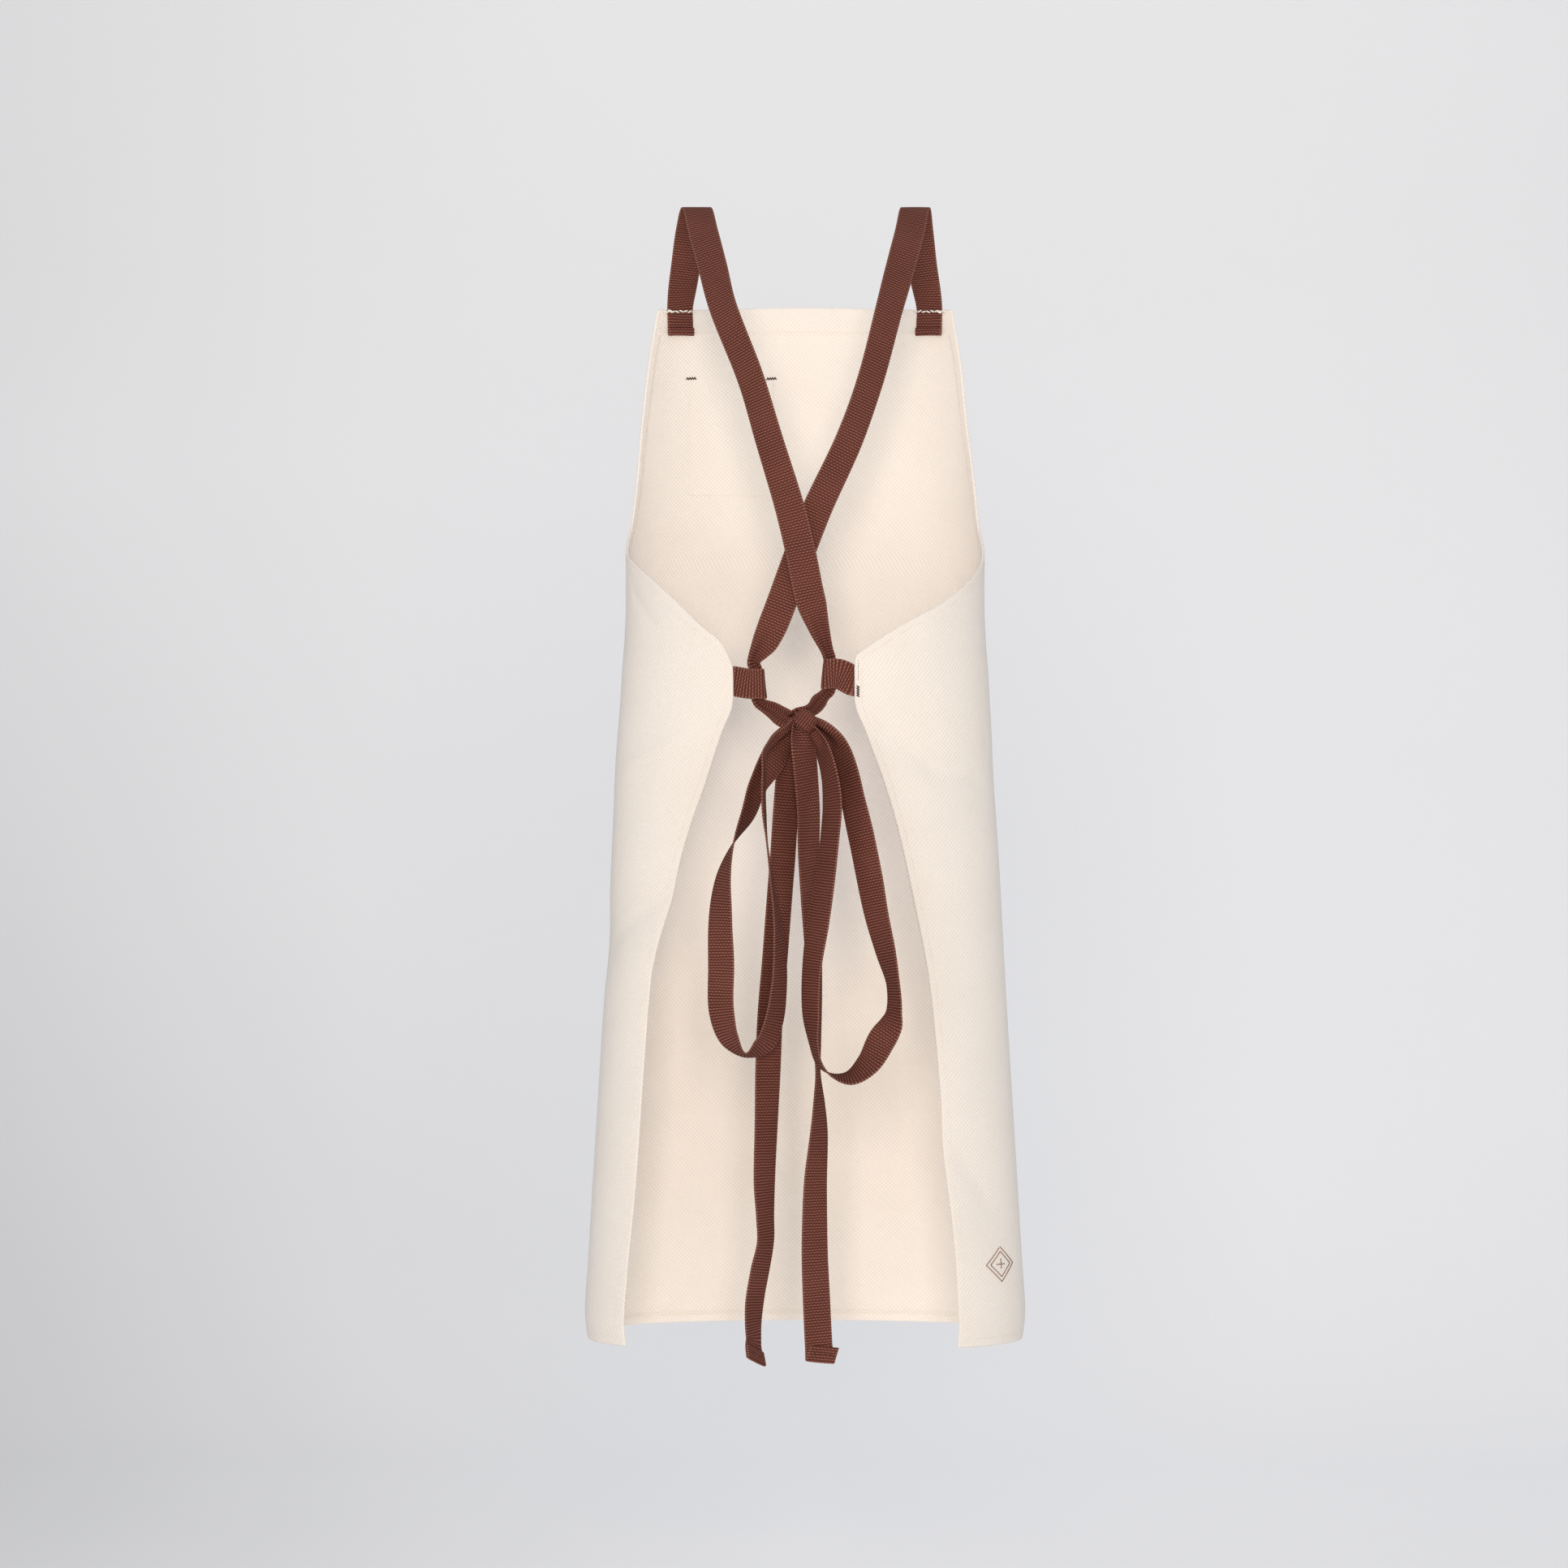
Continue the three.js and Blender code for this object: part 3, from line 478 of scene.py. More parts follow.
@dataclass(frozen=True)
class CottonWebbing:
    """Brown cotton webbing, woven with cross ribs of short dashes and a denser selvedge.

    The ribs are about 2 mm apart and are drawn at 2.3 mm so that they show.
    """

    name: str = "cotton_webbing_ribbed"
    dark: str = "#3f2019"
    middle: str = "#7d493f"
    light: str = "#ac7a69"
    rib_mm: float = 2.3
    dash_mm: float = 3.1
    half_width_mm: float = WEBBING_WIDTH / 2
    selvedge_mm: float = 1.3
    relief_mm: float = 0.5

    def build(self) -> bpy.types.Material:
        """Make the material: ribs along the run, each a row of dashes set half a dash over.

        Returns:
            The material.
        """
        p = Pattern(self.name)
        place, across, along = p.flat_place()
        sway = p.math("MULTIPLY_ADD", p.noise(place, 9.0), 0.0012, along)
        rib = p.math("MULTIPLY_ADD", p.wave(sway, self.rib_mm), 0.5, 0.5)
        row = p.math("FLOOR", p.math("MULTIPLY_ADD", sway, 1 / (self.rib_mm * MM), 0.25))
        over = p.math("MULTIPLY_ADD", row, 0.5 * self.dash_mm * MM, across)
        dash = p.math("MULTIPLY_ADD", p.wave(over, self.dash_mm), 0.5, 0.5)
        weave = p.math("MULTIPLY", rib, p.math("MULTIPLY_ADD", dash, 0.45, 0.55))
        fuzz = p.noise(place, 0.9, 3.0)
        mottle = p.noise(place, 30.0, 2.0)
        body_edge = (self.half_width_mm - self.selvedge_mm) * MM
        edge = p.math("SUBTRACT", p.math("ABSOLUTE", across), body_edge)
        selvedge = p.math("GREATER_THAN", edge, 0.0)
        dots = p.math("MULTIPLY", selvedge, rib)
        tone = p.math("MULTIPLY_ADD", fuzz, 0.35, p.math("MULTIPLY", weave, 0.65))
        tone = p.math("ADD", tone, p.math("MULTIPLY_ADD", mottle, 0.3, -0.15))
        body = p.ramp(tone, linear(self.dark), linear(self.middle))
        bright = p.math("MULTIPLY", p.math("POWER", weave, 3.0), 0.5)
        highlight = p.math("MAXIMUM", bright, p.math("MULTIPLY", dots, 0.6))
        colour = p.ramp(highlight, body, linear(self.light))
        raised = p.math("MULTIPLY_ADD", fuzz, 0.25, p.math("MULTIPLY", dots, 0.4))
        height = p.math("ADD", weave, raised)
        constants = {"Roughness": 0.88, "Sheen Weight": 0.0, "Specular IOR Level": 0.1}
        return p.finish(colour, height, self.relief_mm, constants)


@dataclass(frozen=True)
class SewingThread:
    """Twisted cotton sewing thread: fine slanting plies with a slight gloss."""

    name: str
    colour: str
    depth: float = 0.62
    ply_mm: float = 0.6

    def build(self) -> bpy.types.Material:
        """Make the material: a slanted wave between the thread's colour and a darker one.

        Returns:
            The material.
        """
        p = Pattern(self.name)
        _, across, along = p.flat_place()
        ply = p.math("MULTIPLY_ADD", p.wave(p.math("ADD", across, along), self.ply_mm), 0.5, 0.5)
        full = linear(self.colour)
        darker = (*(self.depth * c for c in full[:3]), 1.0)
        constants = {"Roughness": 0.7, "Sheen Weight": 0.1, "Specular IOR Level": 0.35}
        return p.finish(p.ramp(ply, darker, full), ply, 0.08, constants)


@dataclass(frozen=True)
class StudioPaper:
    """Matt seamless background paper: pale grey with a faint mottle, and painted shade that darkens
    it to the lower left.

    The darkening is falloff * (1.2 left low + 0.2 left^2), where left = 0.75 of the way to the left
    of the middle and low = 0.6 of the way below the origin, both in metres and not below 0. Seen
    from its back the paper is clear, so it does not hide the front of the apron.
    """

    name: str = "studio_paper_matt"
    colour: str = "#f7f7f7"
    painted_falloff: float = 0.27

    def build(self) -> bpy.types.Material:
        """Make the material: noise and the falloff on Object coordinates, in metres.

        Returns:
            The material.
        """
        p = Pattern(self.name)
        place = p.add("ShaderNodeTexCoord").outputs["Object"]
        split = p.add("ShaderNodeSeparateXYZ", inputs={0: place})
        mottle = p.add("ShaderNodeTexNoise", inputs={"Vector": place, "Scale": 1.5}).outputs[0]
        left = p.math("MAXIMUM", p.math("MULTIPLY", split.outputs[0], -0.75), 0.0)
        left = p.math("MINIMUM", left, 1.1)
        low = p.math("MAXIMUM", p.math("MULTIPLY", split.outputs[2], -0.6), 0.0)
        low = p.math("MINIMUM", low, 0.8)
        both = p.math("MULTIPLY_ADD", low, 1.2, p.math("MULTIPLY", left, 0.2))
        corner = p.math("MULTIPLY", left, both)
        # Painted shade: the paper's colour is darkened towards the lower left.
        dim = p.math("MULTIPLY_ADD", mottle, 0.03, p.math("MULTIPLY", corner, self.painted_falloff))
        full = linear(self.colour)
        face = p.math("SUBTRACT", 1.0, p.add("ShaderNodeNewGeometry").outputs["Backfacing"])
        constants = {"Roughness": 0.95, "Specular IOR Level": 0.1, "Alpha": face}
        return p.finish(p.ramp(dim, full, (0.0, 0.0, 0.0, 1.0)), None, 0.0, constants)


@dataclass(frozen=True)
class Finishes:
    """All the apron's materials, built once."""

    canvas: bpy.types.Material
    webbing: bpy.types.Material
    pale_thread: bpy.types.Material
    white_thread: bpy.types.Material
    brown_thread: bpy.types.Material
    tan_thread: bpy.types.Material

    @staticmethod
    def build() -> "Finishes":
        """Build every finish.

        Returns:
            The finishes.
        """
        return Finishes(
            CottonCanvas().build(),
            CottonWebbing().build(),
            SewingThread("cotton_thread_pale", "#fbefe2", 0.9).build(),
            SewingThread("cotton_thread_white", "#fffaf2", 0.85).build(),
            SewingThread("cotton_thread_brown", "#4a241d").build(),
            SewingThread("cotton_thread_tan", "#8f5c38").build(),
        )


# Canvas


class Profile(Enum):
    """How a fold rises from the cloth round it."""

    SOFT = "soft"
    SHARP = "sharp"


@dataclass(frozen=True)
class Fold:
    """A straight crease between two places on the canvas; width and depth in millimetres."""

    name: str
    down: float
    turn: float
    to_down: float
    to_turn: float
    wide: float
    deep: float
    profile: Profile = Profile.SOFT


@dataclass(frozen=True)
class CanvasForm:
    """The canvas as a surface of two parameters: the share down its length and the angle round.

    A section is a rounded ring, |x/a|^n + |y/b|^n = 1, that is wider than deep, with folds added
    along the radius. Columns of the sections: down, side, front, back, left and right.
    """

    apron_length: float = 884.0
    shoulder_drop: float = 77.0
    chest_half_width: float = 152.0
    hem_half_width: float = 187.0
    front_depth: float = 98.0
    back_depth: float = 95.0
    roundness: float = 2.35
    cloth: float = 1.2
    hem: float = 2.2
    side_hem: float = 8.0
    top_hem: float = 23.0
    bottom_hem: float = 9.0
    corner_drop: float = 5.0
    corner_drop_reach: float = 0.15
    samples: int = 400
    halvings: int = 30
    sections: np.ndarray = field(default_factory=lambda: np.array([
        [0.0, 0.0, 0.97, 0.97, 65, 65],
        [0.06, 0.0, 0.99, 0.98, 69, 69],
        [0.12, 0.0, 1.0, 0.99, 72.5, 72],
        [0.18, 0.0, 1.0, 1.0, 76, 77],
        [0.22, 0.0, 1.0, 1.0, 81, 81],
        [0.245, 0.01, 1.0, 1.0, 92, 91],
        [0.26, 0.01, 1.0, 1.0, 105, 100],
        [0.28, 0.01, 1.0, 1.0, 116.5, 111.5],
        [0.3, 0.01, 1.01, 0.99, 125, 123],
        [0.32, 0.03, 1.01, 0.99, 133.5, 137.5],
        [0.335, 0.05, 1.02, 0.99, 141, 147.5],
        [0.35, 0.08, 1.02, 0.99, 144.5, 156],
        [0.36, 0.1, 1.03, 0.99, 146, 156.3],
        [0.39, 0.14, 1.04, 0.99, 146.3, 156.2],
        [0.42, 0.19, 1.05, 0.99, 142.3, 151],
        [0.46, 0.25, 1.07, 1.0, 137.3, 144.8],
        [0.51, 0.32, 1.09, 1.02, 131, 139.5],
        [0.57, 0.4, 1.11, 1.04, 125, 135],
        [0.66, 0.52, 1.14, 1.06, 119.3, 129.7],
        [0.76, 0.67, 1.18, 1.1, 118.4, 127.6],
        [0.85, 0.81, 1.21, 1.12, 117.5, 125.7],
        [0.93, 0.93, 1.23, 1.14, 116, 124.5],
        [0.975, 1.0, 1.25, 1.14, 115.3, 124],
        [1.0, 0.93, 1.24, 1.12, 115, 123.6],
    ]))
    folds: tuple[Fold, ...] = (
        Fold("left drag from loop", 0.425, -132, 0.45, -108, 39, 2.7),
        Fold("left hip crease", 0.29, -112, 0.32, -122, 31, -1.6),
        Fold("left thigh fold", 0.57, -122, 0.62, -98, 31, -3.8),
        Fold("right drag from loop", 0.42, 138, 0.465, 108, 39, -3.2),
        Fold("right hip fold", 0.38, 140, 0.4, 118, 39, 1.6),
        Fold("right lower fold", 0.81, 124, 0.87, 112, 26, -3.2),
        Fold("left front wave", 0.5, -48, 1.0, -58, 42, 4.8),
        Fold("right front wave", 0.45, 42, 1.0, 52, 42, 4.0),
        Fold("left hip pinch", 0.286, -104, 0.318, -114, 5, -1.9, Profile.SHARP),
        Fold("left loop pull", 0.452, -108, 0.421, -132, 7, 2.2, Profile.SHARP),
        Fold("left thigh pull", 0.62, -100, 0.577, -121, 8, -2.2, Profile.SHARP),
        Fold("right loop pull", 0.412, 143, 0.455, 125, 8, -2.7, Profile.SHARP),
        Fold("right loop pull end", 0.455, 125, 0.4655, 107, 8, -2.4, Profile.SHARP),
        Fold("right hip pinch", 0.434, 101, 0.424, 103, 4, -1.7, Profile.SHARP),
        Fold("right hem pull", 0.82, 121, 0.866, 112, 8, -2.2, Profile.SHARP),
        Fold("bib pinch", 0.268, 66, 0.285, 66.5, 3, 1.5, Profile.SHARP),
    )

    def reach(self, down: np.ndarray, side: int) -> np.ndarray:
        """Give how far round the cloth reaches on a side, in degrees.

        Args:
            down: shares of the length.
            side: -1 for the left, 1 for the right.

        Returns:
            The angles, all positive.
        """
        return read_column(self.sections, 4 if side < 0 else 5, down)

    def fold_height(self, down: np.ndarray, turn: np.ndarray) -> np.ndarray:
        """Add up the folds: each falls off with the distance to its crease line.

        Args:
            down: shares of the length.
            turn: angles from the middle of the front, in degrees.

        Returns:
            The heights along the radius, in millimetres.
        """
        per_degree = np.radians(self.chest_half_width) / self.apron_length
        height = np.zeros(np.broadcast(down, turn).shape)
        rounding, sharpness = 0.02, 1.6
        for fold in self.folds:
            ax, ay = (fold.to_turn - fold.turn) * per_degree, fold.to_down - fold.down
            px, py = (turn - fold.turn) * per_degree, down - fold.down
            t = np.clip((px * ax + py * ay) / (ax * ax + ay * ay), 0, 1)
            distance = np.hypot(px - ax * t, py - ay * t) * self.apron_length / fold.wide
            soft = np.exp(-distance ** 2)
            sharp = np.exp(-np.sqrt(distance ** 2 + rounding) * sharpness)
            height += fold.deep * (soft if fold.profile is Profile.SOFT else sharp)
        return height

    def point(self, down: np.ndarray, turn: np.ndarray) -> np.ndarray:
        """Give points of the outer face: radius (|s/a|^n + |c/b|^n)^(-1/n) plus the folds.

        Args:
            down: shares of the length.
            turn: angles from the middle of the front, in degrees.

        Returns:
            (..., 3) points in millimetres.
        """
        down, turn = np.broadcast_arrays(np.asarray(down, float), np.asarray(turn, float))
        side = read_column(self.sections, 1, down)
        half = self.chest_half_width + side * (self.hem_half_width - self.chest_half_width)
        angle = np.radians(turn)
        forward = np.cos(angle) > 0
        front = read_column(self.sections, 2, down) * self.front_depth
        back = read_column(self.sections, 3, down) * self.back_depth
        x = np.abs(np.sin(angle)) / half
        y = np.abs(np.cos(angle)) / np.where(forward, front, back)
        radius = (x ** self.roundness + y ** self.roundness) ** (-1 / self.roundness)
        radius = radius + self.fold_height(down, turn)
        reach = np.where(turn < 0, self.reach(down, -1), self.reach(down, 1))
        fading = np.maximum(0, 1 - down / self.corner_drop_reach)
        droop = self.corner_drop * (turn / reach) ** 2 * fading
        z = -(self.shoulder_drop + down * self.apron_length) - droop
        return np.stack([radius * np.sin(angle), radius * np.cos(angle), z], -1)

    def normal(self, down: np.ndarray, turn: np.ndarray) -> np.ndarray:
        """Give the outward direction, across the two slopes of the surface.

        Args:
            down: shares of the length.
            turn: angles from the middle of the front, in degrees.

        Returns:
            (..., 3) unit directions.
        """
        step, turn_step = 0.002, 0.8
        lower, upper = np.minimum(1, down + step), np.maximum(0, down - step)
        fall = self.point(lower, turn) - self.point(upper, turn)
        around = self.point(down, turn + turn_step) - self.point(down, turn - turn_step)
        return -unit(np.cross(around, -fall))

    def inside(self, down: float, turn: float, gap: float) -> np.ndarray:
        """Give a point that lies a gap in from the hem's inner face.

        Args:
            down: the share of the length.
            turn: the angle from the middle of the front, in degrees.
            gap: the gap, in millimetres.

        Returns:
            The point.
        """
        place = np.array([down]), np.array([turn])
        return (self.point(*place) - self.normal(*place) * (self.hem + gap))[0]

    def turn_for_across(self, down: np.ndarray, across: np.ndarray) -> np.ndarray:
        """Find by halving the angle at which the front of the canvas is that far to the side.

        Args:
            down: shares of the length.
            across: how far to the side, in millimetres.

        Returns:
            The angles, in degrees.
        """
        down, across = np.broadcast_arrays(np.asarray(down, float), np.asarray(across, float))
        low, high = np.full(down.shape, -90.0), np.full(down.shape, 90.0)
        for _ in range(self.halvings):
            middle = (low + high) / 2
            less = self.point(down, middle)[..., 0] < across
            low, high = np.where(less, middle, low), np.where(less, high, middle)
        return (low + high) / 2

    def ring_turns(self, down: np.ndarray, offsets: np.ndarray) -> np.ndarray:
        """Find the angles that lie given lengths along a row from its left end.

        Args:
            down: (rows,) shares of the length.
            offsets: (rows, columns) lengths along each row, in millimetres.

        Returns:
            (rows, columns) angles, read from the running length of many samples a row.
        """
        share = np.linspace(0, 1, self.samples)
        left, right = -self.reach(down, -1)[:, None], self.reach(down, 1)[:, None]
        turns = left + (right - left) * share
        points = self.point(down[:, None], turns)
        steps = np.linalg.norm(np.diff(points, axis=1), axis=-1)
        run = np.concatenate([np.zeros((len(down), 1)), np.cumsum(steps, axis=1)], axis=1)
        lift = np.arange(len(down))[:, None] * 1e4
        index = np.searchsorted((run + lift).ravel(), (offsets + lift).ravel(), side="right") - 1
        index = index.reshape(offsets.shape) - np.arange(len(down))[:, None] * share.size
        index = np.clip(index, 0, share.size - 2)
        rows = np.arange(len(down))[:, None]
        t = np.clip((offsets - run[rows, index]) / (run[rows, index + 1] - run[rows, index]), 0, 1)
        return turns[rows, index] + t * (turns[rows, index + 1] - turns[rows, index])

    def ring_length(self, down: np.ndarray) -> np.ndarray:
        """Give the length of each row from its left end to its right end, in millimetres.

        Args:
            down: (rows,) shares of the length.

        Returns:
            (rows,) lengths.
        """
        share = np.linspace(0, 1, self.samples)
        left, right = -self.reach(down, -1)[:, None], self.reach(down, 1)[:, None]
        points = self.point(down[:, None], left + (right - left) * share)
        return np.linalg.norm(np.diff(points, axis=1), axis=-1).sum(axis=1)

    def edge_slant(self, down: np.ndarray, side: int) -> np.ndarray:
        """Give how much wider the side hem runs along a row where its edge is slanted.

        Args:
            down: shares of the length.
            side: -1 for the left, 1 for the right.

        Returns:
            The factors, from 1 to 4.
        """
        step = 0.004
        lower, upper = np.minimum(1, down + step), np.maximum(0, down - step)
        below = self.point(lower, side * self.reach(lower, side))
        fall = below - self.point(upper, side * self.reach(upper, side))
        height = np.abs(fall[:, 2])
        return np.clip(np.linalg.norm(fall, axis=-1) / np.maximum(height, 1e-6), 1, 4)


@dataclass
class ApronPanel:
    """Bib, skirt and the two wings that wrap to the back, with hems folded to the inside.

    The hems pucker along their edges by a sum of sines, each with its share, length and phase.
    """

    form: CanvasForm
    finishes: Finishes
    row_step: float = 5.0
    least_step: float = 0.2
    column_count: int = 120
    wing_edge: tuple[float, float] = (0.235, 0.365)
    wing_edge_rows: int = 46
    pucker: float = 0.1
    pucker_reach: float = 5.0
    ripples: tuple[tuple[float, float, float], ...] = (
        (1.0, 1.9, 0.0), (0.7, 3.1, 1.3), (0.6, 5.3, 0.4),
    )

    def rows(self) -> np.ndarray:
        """List the rows as shares of the length, closer at the hems and the wings' top edges.

        Returns:
            The shares, sorted.
        """
        length = self.form.apron_length
        hem, bottom = self.form.top_hem, self.form.bottom_hem
        ridge = np.array([-0.9, -0.3, 0.3, 0.9])
        top = np.concatenate([EDGE_STEPS, hem + ridge]) / length
        low = 1 - np.concatenate([EDGE_STEPS, bottom + ridge]) / length
        even = np.arange(0, 1, self.row_step / length)
        close = np.linspace(*self.wing_edge, self.wing_edge_rows)
        rows = np.unique(np.concatenate([top, low, even, close]))
        return rows[np.concatenate([[True], np.diff(rows) > self.least_step / length])]

    def places(self, down: np.ndarray) -> tuple[np.ndarray, np.ndarray, np.ndarray]:
        """Place the columns of every row.

        Args:
            down: (rows,) shares of the length.

        Returns:
            The angles, the lengths along the row, and the distance to the nearer side edge.
        """
        hem = self.form.side_hem
        near = np.array([*EDGE_STEPS, 4.0, 6.3, hem - 0.4, hem + 0.4, hem + 1.2])
        total = self.form.ring_length(down)[:, None]
        slant_left = self.form.edge_slant(down, -1)[:, None]
        slant_right = self.form.edge_slant(down, 1)[:, None]
        left, right = near * slant_left, total - near[::-1] * slant_right
        share = np.linspace(0, 1, self.column_count + 2)[1:-1]
        middle = left[:, -1:] + (right[:, :1] - left[:, -1:]) * share
        offsets = np.concatenate([left, middle, right], axis=1)
        from_left = offsets / slant_left
        from_right = (total - offsets) / slant_right
        turns = self.form.ring_turns(down, offsets)
        return turns, offsets - total / 2, np.minimum(from_left, from_right)

    def shell(self) -> Shell:
        """Loft the outer and inner skins: thicker at the hems and rounded at every edge.

        Returns:
            The panel, closed.
        """
        form = self.form
        down = self.rows()
        turn, along, edge = self.places(down)
        column = down[:, None] * np.ones_like(turn)
        outer = form.point(column, turn)
        normal = form.normal(column, turn)
        from_top = column * form.apron_length
        from_bottom = (1 - column) * form.apron_length
        hems = np.maximum.reduce([
            smooth_step((hem + ease - distance) / (2 * ease))
            for hem, ease, distance in (
                (form.side_hem, 0.8, edge),
                (form.top_hem, 0.9, from_top),
                (form.bottom_hem, 0.9, from_bottom),
            )
        ])
        nearest = np.minimum(edge, np.minimum(from_top, from_bottom))
        drawn = np.exp(-((nearest - self.pucker_reach) / self.pucker_reach) ** 2)
        run = np.where(edge < np.minimum(from_top, from_bottom), from_top, along)
        ripple = sum(deep * np.sin(run / wide + phase) for deep, wide, phase in self.ripples)
        lift = self.pucker * drawn * ripple
        thick = form.cloth + (form.hem - form.cloth) * hems
        taper = edge_taper(nearest, thick)
        top = outer + normal * (lift - taper)[..., None]
        under = outer + normal * (lift - thick + taper)[..., None]
        flat = np.stack([along, -from_top], -1)
        return Shell.between(top, under, flat)

    def dress(self) -> bpy.types.Object:
        """Make the panel.

        Returns:
            The object.
        """
        piece = self.shell().make("canvas_panel", self.finishes.canvas)
        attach(piece, "root")
        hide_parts("apron_panel")
        return piece


@dataclass
class ChestPocket:
    """A patch pocket on the outside of the bib, with a folded hem at its mouth."""

    form: CanvasForm
    finishes: Finishes
    width: float = 78.0
    height: float = 107.0
    top: float = 59.0
    offset: float = -64.0
    gape: float = 2.5
    mouth_hem: float = 14.0
    clearance: float = 0.4
    turned_under: float = 2.0

    def place(self, across: np.ndarray, fall: np.ndarray) -> tuple[np.ndarray, np.ndarray]:
        """Give the bib's face and its outward direction under places on the pocket.

        Args:
            across: places across from the pocket's middle, in millimetres.
            fall: places down from its mouth, in millimetres.

        Returns:
            The points and the unit directions.
        """
        down = (self.top + fall) / self.form.apron_length
        turn = self.form.turn_for_across(down, self.offset + across)
        return self.form.point(down, turn), self.form.normal(down, turn)

    def shell(self) -> Shell:
        """Loft the patch: it lifts off the bib by the gape in the middle of its mouth.

        Returns:
            The pocket, closed.
        """
        edge, inset, ease = np.array([0, 0.3, 0.9, 1.8]), 3, 0.4
        columns = np.linspace(inset, self.width - inset, 27)
        rows = np.linspace(inset, self.height - inset, 36)
        mouth = np.array([self.mouth_hem - ease, self.mouth_hem + ease])
        u = np.concatenate([edge, columns, self.width - edge[::-1]])
        v = np.unique(np.concatenate([edge, rows, mouth, self.height - edge]))
        fall, across = np.meshgrid(v, u - self.width / 2, indexing="ij")
        face, normal = self.place(across, fall)
        middle = np.cos(np.pi * across / self.width)
        gape = self.gape * middle * (1 - fall / self.height) ** 2
        hem = smooth_step((self.mouth_hem + ease - fall) / (2 * ease))
        thick = self.form.cloth + (self.form.hem - self.form.cloth) * hem
        to_side = self.width / 2 - np.abs(across)
        nearest = np.minimum.reduce([to_side, fall, self.height - fall])
        taper = edge_taper(nearest, thick)
        under = face + normal * (self.clearance + gape + taper)[..., None]
        top = face + normal * (self.clearance + gape + thick - taper)[..., None]
        return Shell.between(top, under, np.stack([across, -fall], -1))

    def dress(self) -> bpy.types.Object:
        """Returns:
            The object.
        """
        piece = self.shell().make("canvas_pocket", self.finishes.canvas)
        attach(piece, "root")
        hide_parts("chest_pocket")
        return piece


# Webbing


@dataclass
class Stations:
    """Places that webbing is carried through.

    line holds a width direction for each, or turn an angle in degrees from the direction that lies
    flat in the picture; wide is the share of the webbing's width that it is gathered to.
    """

    points: np.ndarray
    wide: np.ndarray
    line: np.ndarray | None = None
    turn: np.ndarray | None = None


@dataclass(frozen=True)
class Frames:
    """Webbing laid out: centre points, unit width lines, unit face directions, width shares."""

    centre: np.ndarray
    across: np.ndarray
    face: np.ndarray
    wide: np.ndarray


